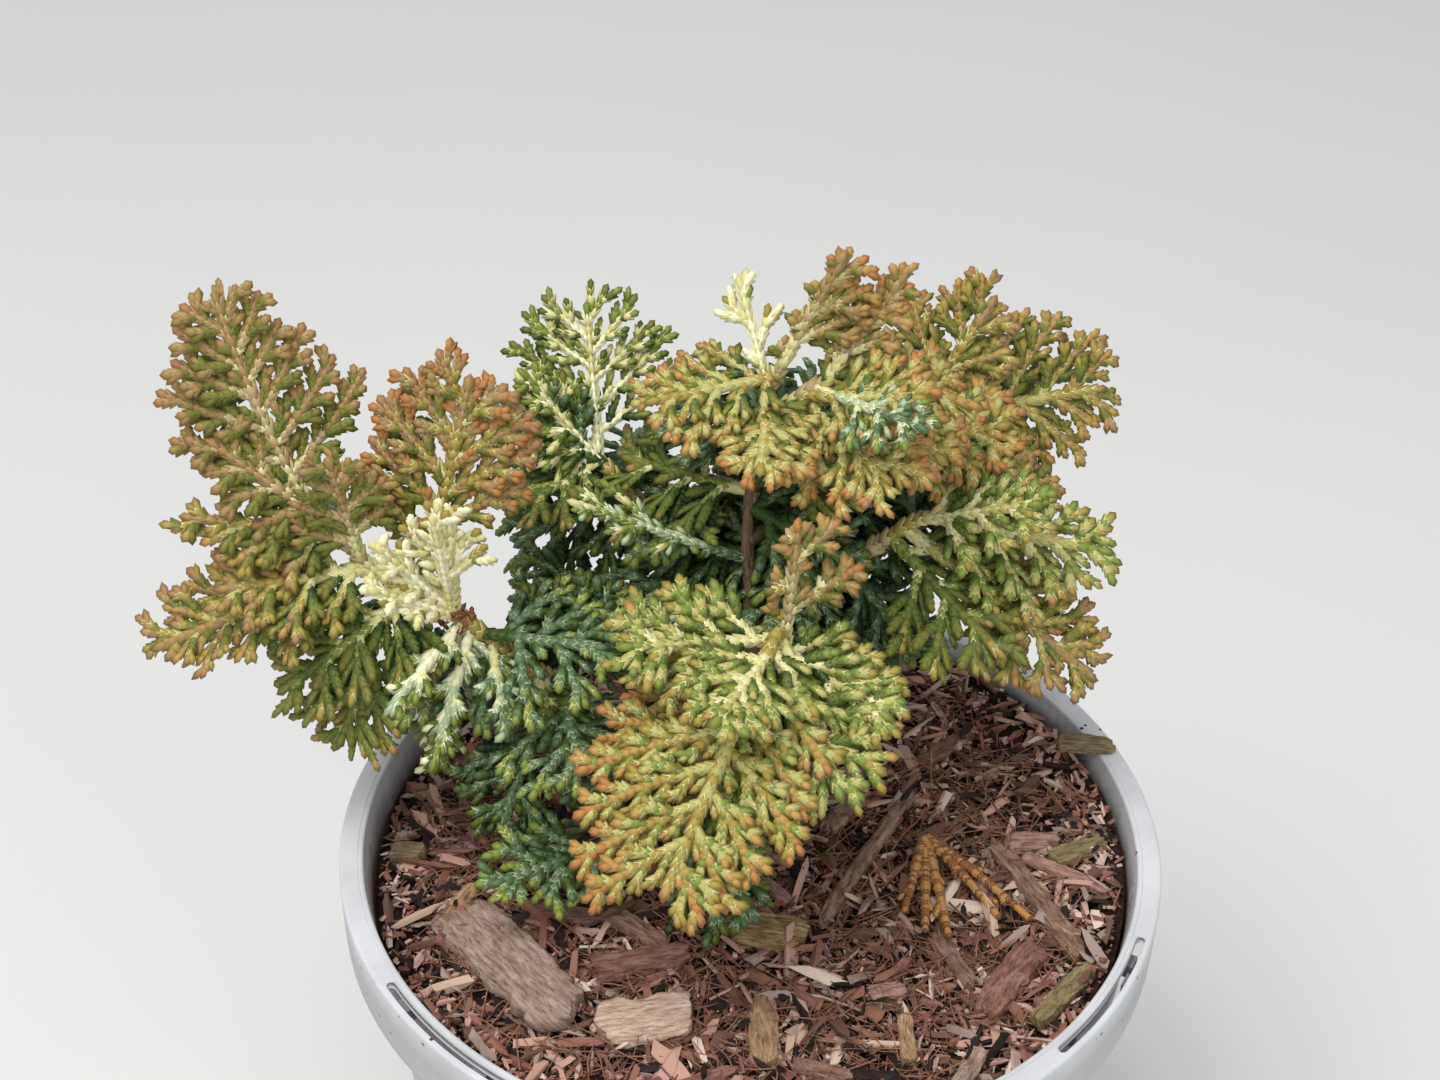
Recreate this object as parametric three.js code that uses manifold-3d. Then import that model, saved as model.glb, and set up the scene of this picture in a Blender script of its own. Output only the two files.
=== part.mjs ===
// A dwarf conifer with flat fan-shaped sprays, growing in a round plastic nursery pot topped with shredded bark.
// Units are millimetres, Z is up, and the origin is the centre of the pot's flat underside.
// Everything is laid out from the middle of the rim, and one group at the end lifts it to its place.

import * as THREE from "three";
import { mergeVertices } from "three/addons/utils/BufferGeometryUtils.js";
import Module from "manifold-3d";

const wasm = await Module();
wasm.setup();

// Pot: a 13 cm round pot with a flat rim flange, a hanging skirt and label slots in the flange
const POT_HEIGHT = 113;
const RIM_RADIUS = 65;
const LIP_RADIUS = 61.2;
const WALL = 1.3;
const FOOT_RADIUS = 47.5;
const FLANGE_THICKNESS = 1.2;
const SKIRT_HEIGHT = 11;
const SKIRT_THICKNESS = 0.9;
const SLOT_RADII = [62.75, 64.05];
const SLOT_SPAN = 24.7;
const SLOTS = [
  { start: -46, turn: 1 },
  { start: 83.6, turn: 1 },
  { start: -122.1, turn: -1 },
];
const TAB_OFFSETS = [2.1, 4.4, 16.5, 20.1];
const TAB_SPAN = 2.4;
const TAB_DROP = [1.6, 4];
const TAB_LAP = 0.45;
const TAB_ROOT = 0.5;
const EDGE = 0.5;
const DRAIN_HOLES = 8;
const DRAIN_RADIUS = 3.6;
const DRAIN_CIRCLE = 36;
const ROUND = 44;

// Bark bed: fills the pot to a little below the rim
const BED_DEPTH = 7;
const BED_RELIEF = 1.1;
const FIT = 0.3;

// Wood
const TRUNK_FOOT_RADIUS = 3.1;
const TRUNK_TIP_RADIUS = 0.6;
const TRUNK_TAPER = 2.2;
const TRUNK_SIDES = 10;
const TRUNK_STEPS = 12;
const FLARE = 1.9;
const FLARE_FALL = 16;
const FLARE_LOBES = 5;
const FLARE_DEPTH = 0.3;
const BOUGH_SIDES = 6;
const BOUGH_STEPS = 5;

// Sprays: the solid pieces
const TWIG_SIDES = 3;
const BLADE_THICKNESS = 1.6;
const NOTCH = 0.34;
const AXIS_RADIUS = 0.85;
const DOWN = new THREE.Vector3(0, 0, -1);

// Sprays: how they branch, in shares of the axis or the shoot, and angles in radians
const LAST_SHOOT = 0.88;
const PLACE_CHANCE = 0.35;
const ANGLE_CHANCE = 0.2;
const CLOSING = 0.42;
const OUTLINE = { from: 0.35, span: 0.57, power: 0.8 };
const REACH_RANGE = [0.88, 0.24];
const BEND = 0.55;
const CURL = 0.12;
const BARE_STALK = 2;
const FINGER_PLACES = [0.22, 0.5];
const FINGER_CHANCE = 0.3;
const FINGER_LEAN = 0.75;
const LEAN_CHANCE = 0.25;
const FINGER_TAPER = [1.2, 0.4];
const FINGER_RANGE = [0.85, 0.3];
const LONGEST_FINGER = 0.8;
const FINGER_DROOP = 0.35;

const COLOURS = {
  pot: [0x8f8a86, 0.5],
  bark: [0x54362a, 0.95],
  chip: [0x8a6f5c, 0.9],
  deadSprig: [0xa5672e, 0.85],
  wood: [0x6b5546, 0.9],
  bronze: [0xb0793a, 0.75],
  gold: [0xb79a45, 0.75],
  yellowGreen: [0x8f9a3c, 0.75],
  green: [0x4c6b33, 0.8],
  darkGreen: [0x2c4a30, 0.8],
};

const vector = (list) => new THREE.Vector3(...list);
const radians = THREE.MathUtils.degToRad;

// The three.js geometry as a manifold-3d solid, and back again with flat faces
function solidOf(geometry) {
  geometry.deleteAttribute("normal");
  geometry.deleteAttribute("uv");
  const merged = mergeVertices(geometry, 1e-4);
  return new wasm.Manifold(
    new wasm.Mesh({
      numProp: 3,
      vertProperties: new Float32Array(merged.attributes.position.array),
      triVerts: new Uint32Array(merged.index.array),
    }),
  );
}

function geometryOf(solid) {
  const mesh = solid.getMesh();
  const geometry = new THREE.BufferGeometry();
  geometry.setAttribute("position", new THREE.BufferAttribute(mesh.vertProperties, 3));
  geometry.setIndex(new THREE.BufferAttribute(mesh.triVerts, 1));
  const flat = geometry.toNonIndexed();
  flat.computeVertexNormals();
  return flat;
}

function largestBody(solid) {
  return solid.decompose().reduce((a, b) => (b.volume() > a.volume() ? b : a));
}

function material(colour) {
  const [hex, roughness] = COLOURS[colour];
  return new THREE.MeshStandardMaterial({ color: hex, roughness, metalness: 0, flatShading: true });
}

function meshOf(name, geometry, colour) {
  const mesh = new THREE.Mesh(geometry, material(colour));
  mesh.name = name;
  return mesh;
}

// A random number that is the same in every run
function seeded(seed) {
  let state = seed >>> 0;
  return () => {
    state = (Math.imul(state, 1664525) + 1013904223) >>> 0;
    return state / 4294967296;
  };
}

// Pot

// A lathe turns about Y, so its axis is stood up along Z
function turned(profile, segments) {
  const points = profile.map(([r, z]) => new THREE.Vector2(r, z));
  return new THREE.LatheGeometry(points, segments).rotateX(Math.PI / 2);
}

// A block of a ring between two radii and two heights, from one angle over a span in degrees
function ringBlock([inner, outer], [low, high], start, span, curveSegments) {
  const from = radians(start);
  const to = radians(start + span);
  const shape = new THREE.Shape();
  shape.absarc(0, 0, outer, from, to, false);
  shape.absarc(0, 0, inner, to, from, true);
  shape.closePath();
  const depth = high - low;
  return solidOf(
    new THREE.ExtrudeGeometry(shape, { depth, bevelEnabled: false, curveSegments }).translate(0, 0, low),
  );
}

const wallTop = LIP_RADIUS + WALL;
const outerAt = (z) => FOOT_RADIUS + ((wallTop - FOOT_RADIUS) * (z + POT_HEIGHT)) / POT_HEIGHT;
const floorTop = -POT_HEIGHT + WALL;

// A shell with a thin wall that widens to the flange, with rounded edges
function potShell() {
  const profile = [
    [0, -POT_HEIGHT],
    [FOOT_RADIUS - EDGE, -POT_HEIGHT],
    [FOOT_RADIUS + EDGE / 5, -POT_HEIGHT + EDGE],
    [outerAt(-FLANGE_THICKNESS), -FLANGE_THICKNESS],
    [RIM_RADIUS - SKIRT_THICKNESS, -FLANGE_THICKNESS],
    [RIM_RADIUS - SKIRT_THICKNESS, -SKIRT_HEIGHT],
    [RIM_RADIUS - SKIRT_THICKNESS / 3, -SKIRT_HEIGHT],
    [RIM_RADIUS, -EDGE],
    [RIM_RADIUS - EDGE, 0],
    [LIP_RADIUS + EDGE, 0],
    [LIP_RADIUS, -EDGE],
    [outerAt(floorTop) - WALL, floorTop],
    [0, floorTop],
  ];
  return solidOf(turned(profile, ROUND));
}

// The grip blocks under a label slot stand by turns on the skirt and on the wall
function slotTabs({ start, turn }) {
  return TAB_OFFSETS.map((offset, i) => {
    const onSkirt = i % 2 === 0;
    const inner = onSkirt ? SLOT_RADII[0] + TAB_LAP : wallTop - TAB_ROOT;
    const outer = onSkirt ? RIM_RADIUS - TAB_ROOT : SLOT_RADII[1] - TAB_LAP;
    const middle = start + turn * (offset + TAB_SPAN / 2);
    return ringBlock([inner, outer], [-TAB_DROP[1], -TAB_DROP[0]], middle - TAB_SPAN / 2, TAB_SPAN, 1);
  });
}

function drainHole(i) {
  const angle = (i / DRAIN_HOLES) * 2 * Math.PI;
  const hole = new THREE.CylinderGeometry(DRAIN_RADIUS, DRAIN_RADIUS, 4 * WALL, 10).rotateX(Math.PI / 2);
  return solidOf(hole.translate(DRAIN_CIRCLE * Math.cos(angle), DRAIN_CIRCLE * Math.sin(angle), -POT_HEIGHT));
}

function potSolid() {
  let pot = potShell();
  for (const slot of SLOTS) {
    const low = Math.min(slot.start, slot.start + slot.turn * SLOT_SPAN);
    pot = pot.subtract(ringBlock(SLOT_RADII, [-FLANGE_THICKNESS - 1, 1], low, SLOT_SPAN, 4));
    for (const tab of slotTabs(slot)) pot = pot.add(tab);
  }
  for (let i = 0; i < DRAIN_HOLES; i++) pot = pot.subtract(drainHole(i));
  return pot;
}

// Limbs

// A round limb along a curve, its radius a function of the way along and the angle round it.
// Its end can be carried past the curve's end.
function tube(curve, radiusAt, sides, steps, past = 0) {
  const frames = curve.computeFrenetFrames(steps);
  const geometry = new THREE.CylinderGeometry(1, 1, 1, sides, steps);
  const at = geometry.attributes.position;
  const point = new THREE.Vector3();
  for (let i = 0; i < at.count; i++) {
    const step = Math.round((at.getY(i) + 0.5) * steps);
    const [x, z] = [at.getX(i), at.getZ(i)];
    const radius = radiusAt(step / steps, Math.atan2(z, x));
    curve.getPointAt(step / steps, point);
    if (step === steps) point.addScaledVector(frames.tangents[step], past);
    point.addScaledVector(frames.normals[step], x * radius);
    point.addScaledVector(frames.binormals[step], -z * radius);
    at.setXYZ(i, point.x, point.y, point.z);
  }
  return solidOf(geometry);
}

const curveOf = (points) => new THREE.CubicBezierCurve3(...points);

// Where each limb leaves its parent, the two points that bend it, its end, and its radius at both ends
const TRUNK_FOOT = [5, 8];
const TRUNK_LINE = [
  [...TRUNK_FOOT, -BED_DEPTH - 3],
  [1, 10, 20],
  [-6, 26, 50],
  [3, 20, 73.5],
];
const BOUGHS = {
  left: { from: ["trunk", 0.1], by: [[-12, 5, 9], [-34, 4, 27]], to: [-46.5, 6, 38], radii: [1.6, 0.9] },
  left_upper: { from: ["left", 1], by: [[-53, 6, 41], [-62, 7.5, 47]], to: [-67, 9, 55.5], radii: [0.9, 0.6] },
  crown: { from: ["trunk", 0.86], by: [[4, 20.5, 67], [9, 20, 71]], to: [13.5, 21.5, 72.5], radii: [0.7, 0.5] },
  right_back: { from: ["trunk", 0.6], by: [[8, 26, 45], [18, 33, 49]], to: [27, 37.5, 54], radii: [1.1, 0.7] },
  right: { from: ["trunk", 0.42], by: [[8, 18, 33], [18, 20, 41]], to: [26, 21.5, 46], radii: [1.3, 0.8] },
  back_left: { from: ["trunk", 0.44], by: [[-9, 24, 34], [-18, 30, 41]], to: [-25, 33.5, 47.5], radii: [1.2, 0.7] },
  front: { from: ["trunk", 0.24], by: [[4, 4, 20], [6, -3, 34]], to: [3, -7, 45], radii: [1.4, 0.8] },
  low: { from: ["trunk", 0.13], by: [[-4, 3, 0], [-14, -4, 2]], to: [-22.5, -8, 3], radii: [1.1, 0.7] },
  rear: { from: ["trunk", 0.34], by: [[2, 23, 27], [2, 32, 33]], to: [2, 38, 35], radii: [1.2, 0.8] },
};

const limbs = { trunk: { curve: curveOf(TRUNK_LINE.map(vector)) } };

// The root flare: a lobed swelling that dies away up the trunk
function trunkRadius(t, angle) {
  const taper = TRUNK_TIP_RADIUS + (TRUNK_FOOT_RADIUS - TRUNK_TIP_RADIUS) * (1 - t) ** TRUNK_TAPER;
  const flare = FLARE * Math.exp(-t * FLARE_FALL) * (1 + FLARE_DEPTH * Math.cos(FLARE_LOBES * angle));
  return taper + flare;
}

// The trunk, cut flat just above the bark bed, and made fatter by extra
function trunkSolid(extra) {
  const { curve } = limbs.trunk;
  const whole = tube(curve, (t, angle) => trunkRadius(t, angle) + extra, TRUNK_SIDES, TRUNK_STEPS, extra);
  const ground = new THREE.BoxGeometry(40, 40, 20);
  ground.translate(...TRUNK_FOOT, -BED_DEPTH + FIT - extra - 10);
  return whole.subtract(solidOf(ground));
}

// A bough runs from the middle of its parent, and what lies in or against an older limb is cut away
function growLimbs() {
  limbs.trunk.solid = trunkSolid(0);
  limbs.trunk.fat = trunkSolid(FIT);
  let older = limbs.trunk.fat;
  for (const [name, bough] of Object.entries(BOUGHS)) {
    const [parent, place] = bough.from;
    const start = limbs[parent].curve.getPoint(place);
    const curve = curveOf([start, ...bough.by.map(vector), vector(bough.to)]);
    const [thick, thin] = bough.radii;
    const radius = (t) => thick + (thin - thick) * t;
    const solid = largestBody(tube(curve, radius, BOUGH_SIDES, BOUGH_STEPS).subtract(older));
    const fat = tube(curve, (t) => radius(t) + FIT, BOUGH_SIDES, BOUGH_STEPS, FIT);
    older = older.add(fat);
    limbs[name] = { curve, solid, fat };
  }
  return older;
}

// Sprays

// A quadratic curve and its direction
function along(a, c, b, t) {
  return new THREE.Vector3()
    .addScaledVector(a, (1 - t) ** 2)
    .addScaledVector(c, 2 * t * (1 - t))
    .addScaledVector(b, t * t);
}

function heading(a, c, b, t) {
  const first = c.clone().sub(a).multiplyScalar(1 - t);
  return first.add(b.clone().sub(c).multiplyScalar(t)).normalize();
}

const crossed = (a, b) => new THREE.Vector3().crossVectors(a, b);

// Grows one spray: an axis from its limb, shoots on both sides of it in one face, and blades on the shoots.
// The random numbers are drawn in the order in which they are used, so that the same seed grows the same spray.
function growSpray(spray) {
  const random = seeded(spray.seed);
  const [a, b] = [limbs[spray.on[0]].curve.getPoint(spray.on[1]), vector(spray.tip)];
  const way = b.clone().sub(a);
  const length = way.length();
  const across = crossed(vector(spray.face), way).normalize();
  const face = crossed(way, across).normalize();
  const c = a.clone().add(b).multiplyScalar(0.5);
  c.addScaledVector(face, spray.bow * length).addScaledVector(across, spray.sway * length);
  const shoots = [];
  for (let i = 0; i < spray.shoots; i++) {
    shoots.push(growShoot(spray, { a, c, b, face, length }, i, random));
  }
  for (const shoot of shoots) shoot.fingers = growFingers(spray, shoot, random);
  return { axis: [a, c, b], face, shoots };
}

// A shoot leaves the axis to the left or the right by turns, and the longest stand a third of the way along
function growShoot(spray, { a, c, b, face, length }, i, random) {
  const share = (i + PLACE_CHANCE * (random() - 0.5)) / (spray.shoots - 1);
  const t = spray.first + (LAST_SHOOT - spray.first) * share;
  const v = Math.max(0, (t - spray.first) / (1 - spray.first));
  const side = i % 2 === 0 ? 1 : -1;
  const [p, u] = [along(a, c, b, t), heading(a, c, b, t)];
  const s = crossed(face, u).normalize();
  const opened = spray.open * (1 - CLOSING * v) + ANGLE_CHANCE * (random() - 0.5);
  const wide = spray.wide[side > 0 ? 0 : 1] * length;
  const outline = Math.sin(Math.PI * (OUTLINE.from + OUTLINE.span * v)) ** OUTLINE.power;
  const reach = wide * outline * (1 - spray.taper * v) * (REACH_RANGE[0] + REACH_RANGE[1] * random());
  const d = u.clone().multiplyScalar(Math.cos(opened)).addScaledVector(s, side * Math.sin(opened));
  const mid = p.clone().addScaledVector(d, BEND * reach);
  const q = p.clone().addScaledVector(d, reach).addScaledVector(u, CURL * reach);
  q.addScaledVector(DOWN, (spray.droop * reach * reach) / length);
  return { p, mid, q, face: crossed(u, s), reach };
}

// The fingers of a shoot lean to its left and right by turns, the longest near its root
function growFingers(spray, { p, mid, q, face, reach }, random) {
  const count = Math.max(1, Math.round((reach - BARE_STALK) / spray.pitch));
  const fingers = [];
  for (let j = 0; j < count; j++) {
    const v = FINGER_PLACES[0] + (FINGER_PLACES[1] * (j + FINGER_CHANCE * random())) / count;
    const [root, w] = [along(p, mid, q, v), heading(p, mid, q, v)];
    const s = crossed(face, w).normalize();
    const side = j % 2 === 0 ? 1 : -1;
    const lean = FINGER_LEAN + LEAN_CHANCE * (random() - 0.5);
    const wanted =
      spray.finger * (FINGER_TAPER[0] - FINGER_TAPER[1] * v) * (FINGER_RANGE[0] + FINGER_RANGE[1] * random());
    const size = Math.min(wanted, LONGEST_FINGER * reach);
    const end = root.addScaledVector(w, Math.cos(lean) * size).addScaledVector(s, side * Math.sin(lean) * size);
    end.addScaledVector(DOWN, spray.droop * FINGER_DROOP * size);
    fingers.push({ end, side });
  }
  return fingers;
}

// A toothed blade: a flat star with a tooth at each tip, thickest in the middle and thinning to its edge
function bladeSolid(tips, face, notch) {
  const middle = new THREE.Vector3();
  for (const tip of tips) middle.addScaledVector(tip, 1 / tips.length);
  const edge = tips.flatMap((tip, i) => {
    const next = tips[(i + 1) % tips.length];
    const hollow = tip.clone().add(next).multiplyScalar(0.5).lerp(middle, notch);
    return [tip, hollow];
  });
  // A sphere of two bands is a double cone, and its equator is moved to the star's edge
  const geometry = new THREE.SphereGeometry(1, edge.length, 2);
  const at = geometry.attributes.position;
  const row = edge.length + 1;
  const point = new THREE.Vector3();
  for (let i = 0; i < at.count; i++) {
    if (Math.floor(i / row) === 1) point.copy(edge[(i - row) % edge.length]);
    else point.copy(middle).addScaledVector(face, Math.sign(at.getY(i)) * (BLADE_THICKNESS / 2));
    at.setXYZ(i, point.x, point.y, point.z);
  }
  return solidOf(geometry);
}

// The blade of a shoot: its root, its fingers up one side, its end, and its fingers down the other side
function shootBlade({ p, q, face, fingers }) {
  const right = fingers.filter(({ side }) => side < 0).map(({ end }) => end);
  const left = fingers.filter(({ side }) => side > 0).map(({ end }) => end);
  return bladeSolid([p, ...right, q, ...left.reverse()], face, NOTCH);
}

// The blade at the end of the axis
function endBlade([a, c, b], face, width) {
  const root = along(a, c, b, 0.6);
  const side = crossed(b.clone().sub(root), face).setLength(width / 2);
  const widest = root.clone().lerp(b, 0.6);
  return bladeSolid([root, widest.clone().add(side), b, widest.clone().sub(side)], face, 0);
}

function twigSolid([a, c, b], thick, thin, steps) {
  const curve = new THREE.QuadraticBezierCurve3(a, c, b);
  return tube(curve, (t) => thick + (thin - thick) * t, TWIG_SIDES, steps);
}

const clearOf = (solid, others) => others.every((other) => solid.minGap(other, FIT + 0.1) >= FIT);

// Fuses the axis and the blades of a spray, leaving out each one that would touch another spray
function spraySolid(spray, limbsFat, others) {
  const { axis, face, shoots } = growSpray(spray);
  let solid = twigSolid(axis, AXIS_RADIUS, AXIS_RADIUS / 2, 4);
  for (const piece of [...shoots.map(shootBlade), endBlade(axis, face, spray.blade)]) {
    if (clearOf(piece, others)) solid = solid.add(piece);
  }
  return largestBody(solid.subtract(limbsFat));
}

const FRONT = [0, -0.9, 0.4];
const AHEAD = [0, -0.6, 0.8];
const HIGH = [0, -0.5, 0.85];
const SPRAY = {
  first: 0.08,
  open: 1.1,
  wide: [0.5, 0.5],
  taper: 0.35,
  shoots: 8,
  bow: 0,
  sway: 0,
  droop: 0,
  pitch: 4.6,
  finger: 7.5,
  blade: 3.3,
};

// Each spray: its limb and the place on it, where its tip is, the way its face looks, its spread and its colour
const SPRAYS = {
  left_upper: {
    on: ["left_upper", 1], tip: [-77.5, 13, 88], face: [0.1, -0.95, 0.3],
    wide: [0.54, 0.54], shoots: 12, sway: 0.05, taper: 0.62, colour: "bronze",
  },
  left_mid: {
    on: ["left_upper", 0.78], tip: [-84.5, 5, 55], face: [0, -0.85, 0.5],
    wide: [0.42, 0.46], open: 0.95, shoots: 7, colour: "gold",
  },
  left_centre: {
    on: ["left_upper", 0.2], tip: [-42, 11, 75.5], face: [0.1, -0.95, 0.3],
    first: 0.28, wide: [0.42, 0.4], shoots: 9, taper: 0.2, colour: "bronze",
  },
  left_low: {
    on: ["left_upper", 0.56], tip: [-90.5, 1, 33.5], face: AHEAD,
    wide: [0.33, 0.4], open: 0.95, shoots: 10, droop: 0.1, colour: "gold",
  },
  left_hang: {
    on: ["left_upper", 0.36], tip: [-63.5, -3, 18.5], face: [-0.2, -0.9, 0.4],
    wide: [0.5, 0.45], open: 0.95, droop: 0.1, colour: "green",
  },
  left_drop: {
    on: ["left", 0.94], tip: [-49.5, 0, 11], face: [0.1, -0.9, 0.4],
    wide: [0.3, 0.38], open: 0.7, shoots: 6, droop: 0.1, colour: "yellowGreen",
  },
  left_pale: {
    on: ["left", 0.99], tip: [-47, 0, 59], face: FRONT,
    open: 0.9, shoots: 4, finger: 4.5, colour: "yellowGreen",
  },
  back_left_up: {
    on: ["back_left", 1], tip: [-27, 40, 72], face: FRONT,
    wide: [0.62, 0.66], shoots: 10, colour: "yellowGreen",
  },
  back_left_low: {
    on: ["back_left", 0.86], tip: [-38.5, 30, 33], face: AHEAD,
    wide: [0.65, 0.62], shoots: 7, droop: 0.2, colour: "darkGreen",
  },
  crown_left: {
    on: ["trunk", 0.97], tip: [-16.5, 14, 70.5], face: HIGH,
    wide: [0.55, 0.5], shoots: 10, droop: 0.3, colour: "gold",
  },
  crown_fingers: {
    on: ["trunk", 0.93], tip: [-3.5, 27, 84], face: FRONT,
    wide: [0.4, 0.42], open: 0.65, shoots: 4, finger: 4, blade: 2.6, colour: "yellowGreen",
  },
  crown_spike: {
    on: ["trunk", 1], tip: [11.5, 21, 91.5], face: [0.2, -0.9, 0.2],
    wide: [0.15, 0.7], open: 0.9, shoots: 7, finger: 5, blade: 3, taper: 0.6, colour: "bronze",
  },
  crown_front: {
    on: ["crown", 0.45], tip: [18.5, 4, 64], face: AHEAD,
    wide: [0.6, 0.55], shoots: 10, droop: 0.25, taper: 0.1, colour: "bronze",
  },
  crown_right: {
    on: ["crown", 1], tip: [32.5, 20, 67], face: HIGH,
    wide: [0.42, 0.45], shoots: 7, droop: 0.3, colour: "gold",
  },
  right_back: {
    on: ["right_back", 1], tip: [56, 44, 56], face: [0.1, -0.85, 0.5],
    wide: [0.56, 0.45], shoots: 10, droop: 0.1, taper: 0.2, colour: "gold",
  },
  right_back_up: {
    on: ["right_back", 0.86], tip: [36.5, 42, 73], face: FRONT,
    first: 0.15, wide: [0.55, 0.45], open: 1, shoots: 7, colour: "gold",
  },
  right_mid: {
    on: ["right", 1], tip: [54.5, 16, 43.5], face: AHEAD,
    wide: [0.42, 0.5], open: 1.05, shoots: 10, droop: 0.3, colour: "yellowGreen",
  },
  right_low: {
    on: ["right", 0.88], tip: [53, 8, 25], face: [0.3, -0.8, 0.5],
    first: 0.32, wide: [0.32, 0.3], open: 1, bow: 0.08, droop: 0.1, colour: "gold",
  },
  inner_right: {
    on: ["right", 0.55], tip: [26, 14, 24.5], face: [0.2, -0.7, 0.7],
    wide: [0.55, 0.5], shoots: 7, droop: 0.2, colour: "darkGreen",
  },
  inner_back: {
    on: ["back_left", 0.4], tip: [-36, 20, 29], face: AHEAD,
    wide: [0.6, 0.6], droop: 0.1, colour: "darkGreen",
  },
  inner_crown: {
    on: ["trunk", 0.67], tip: [14.5, 14, 42], face: [0.1, -0.7, 0.7],
    wide: [0.55, 0.6], shoots: 7, droop: 0.2, colour: "darkGreen",
  },
  inner_left_down: {
    on: ["left", 0.66], tip: [-39, -8, 5.5], face: [0.1, -0.8, 0.6],
    wide: [0.5, 0.5], open: 1.05, shoots: 9, droop: 0.1, colour: "darkGreen",
  },
  inner_left_up: {
    on: ["left", 0.76], tip: [-22, 10, 36.5], face: [-0.1, -0.7, 0.7],
    wide: [0.65, 0.65], shoots: 7, droop: 0.1, colour: "darkGreen",
  },
  front_left: {
    on: ["front", 0.93], tip: [-19.5, -14, 47], face: AHEAD,
    wide: [0.55, 0.5], shoots: 9, droop: 0.1, colour: "yellowGreen",
  },
  front_right: {
    on: ["front", 0.86], tip: [19, -18, 38], face: [0.1, -0.6, 0.8],
    wide: [0.52, 0.6], droop: 0.2, colour: "yellowGreen",
  },
  front_low: {
    on: ["front", 1], tip: [-12.5, -40, 24], face: [0, -0.7, 0.7],
    first: 0.2, wide: [0.45, 0.6], open: 1.2, shoots: 11, droop: 0.1, bow: 0.1, taper: 0.3, colour: "bronze",
  },
  front_sprig: {
    on: ["front", 0.84], tip: [5.5, -2, 61], face: [0.3, -0.95, 0.3],
    wide: [0.2, 0.6], open: 1.1, shoots: 5, finger: 4, blade: 2.6, droop: 0.4, colour: "bronze",
  },
  low_tuft: {
    on: ["low", 1], tip: [-39, -19, 5], face: HIGH,
    wide: [0.45, 0.48], open: 1, shoots: 6, colour: "green",
  },
  rear_left: {
    on: ["rear", 0.72], tip: [-33, 56, 36], face: [-0.2, 0.6, 0.7],
    droop: 0.3, colour: "green",
  },
  rear_right: {
    on: ["rear", 0.84], tip: [36, 58, 38], face: [0.2, 0.6, 0.7],
    droop: 0.3, colour: "green",
  },
  rear_mid: {
    on: ["rear", 1], tip: [2, 63, 36], face: [0, 0.3, 0.9],
    droop: 0.3, colour: "yellowGreen",
  },
};

// Chips and sticks of bark that lie bedded in the top of the bark bed: middle, size, turn and tilt in degrees
const CHIPS = {
  chip_broad: { at: [-36.7, -23.8], size: [31, 10.5, 3.4], turn: -51, tilt: 4 },
  chip_lens: { at: [-16.5, -23.5], size: [15.4, 5, 2.6], turn: 17, tilt: -4 },
  chip_cream: { at: [-15.2, -35], size: [13.8, 8.6, 2.8], turn: 8, tilt: 3 },
  chip_brown: { at: [2.8, -16.6], size: [12.5, 6.6, 2.8], turn: -6, tilt: -3 },
  stick_long: { at: [19.6, 1.5], size: [36.8, 2.6, 2.4], turn: -117, tilt: 3 },
  stick_right: { at: [45.5, -8.5], size: [28.6, 3.6, 2.4], turn: -67, tilt: 2 },
  chip_red: { at: [39.5, -26], size: [18, 5.6, 2.8], turn: -122, tilt: 3 },
};
const RIM_CHIP = { at: [57.2, 20.3], size: [10, 3.6, 1.4], turn: -2 };
const CHIP_CORNERS = 9;
const CHIP_SQUARENESS = 0.6;
const CHIP_CHANCE = 0.14;
const CHIP_SINK = 0.1;

// A splinter of bark: a long rounded outline with an uneven edge, made larger all round by extra
function chipGeometry([length, width, thickness], seed, extra) {
  const random = seeded(seed);
  const shape = new THREE.Shape();
  for (let i = 0; i < CHIP_CORNERS; i++) {
    const angle = (i / CHIP_CORNERS) * 2 * Math.PI;
    const uneven = 1 - CHIP_CHANCE * random();
    const [c, s] = [Math.cos(angle), Math.sin(angle)];
    const x = Math.sign(c) * (Math.abs(c) ** CHIP_SQUARENESS * (length / 2) * uneven + 2 * extra);
    const y = Math.sign(s) * (Math.abs(s) ** CHIP_SQUARENESS * (width / 2) * uneven + extra);
    if (i === 0) shape.moveTo(x, y);
    else shape.lineTo(x, y);
  }
  shape.closePath();
  const depth = thickness + 2 * extra;
  return new THREE.ExtrudeGeometry(shape, { depth, bevelEnabled: false }).translate(0, 0, -depth / 2);
}

// The chip's mesh, and the room that it takes up in the bed
function layChip(name, chip, height, seed) {
  const mesh = meshOf(name, chipGeometry(chip.size, seed, 0), "chip");
  mesh.position.set(chip.at[0], chip.at[1], height);
  mesh.rotation.set(0, radians(chip.tilt ?? 0), radians(chip.turn), "ZYX");
  mesh.updateMatrix();
  const room = solidOf(chipGeometry(chip.size, seed, FIT).applyMatrix4(mesh.matrix));
  return { mesh, room };
}

// The fallen dead sprig: a head with five fingers that fan out over the bark
const SPRIG_HEAD = [28.5, 3.4];
const SPRIG_ENDS = [[24.2, -12.6], [27.2, -17], [30.8, -18], [39, -13.7], [44, -14]];
const SPRIG_HEIGHT = 1.2;
const SPRIG_ARCH = 1.4;
const SPRIG_RADIUS = 0.95;

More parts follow.
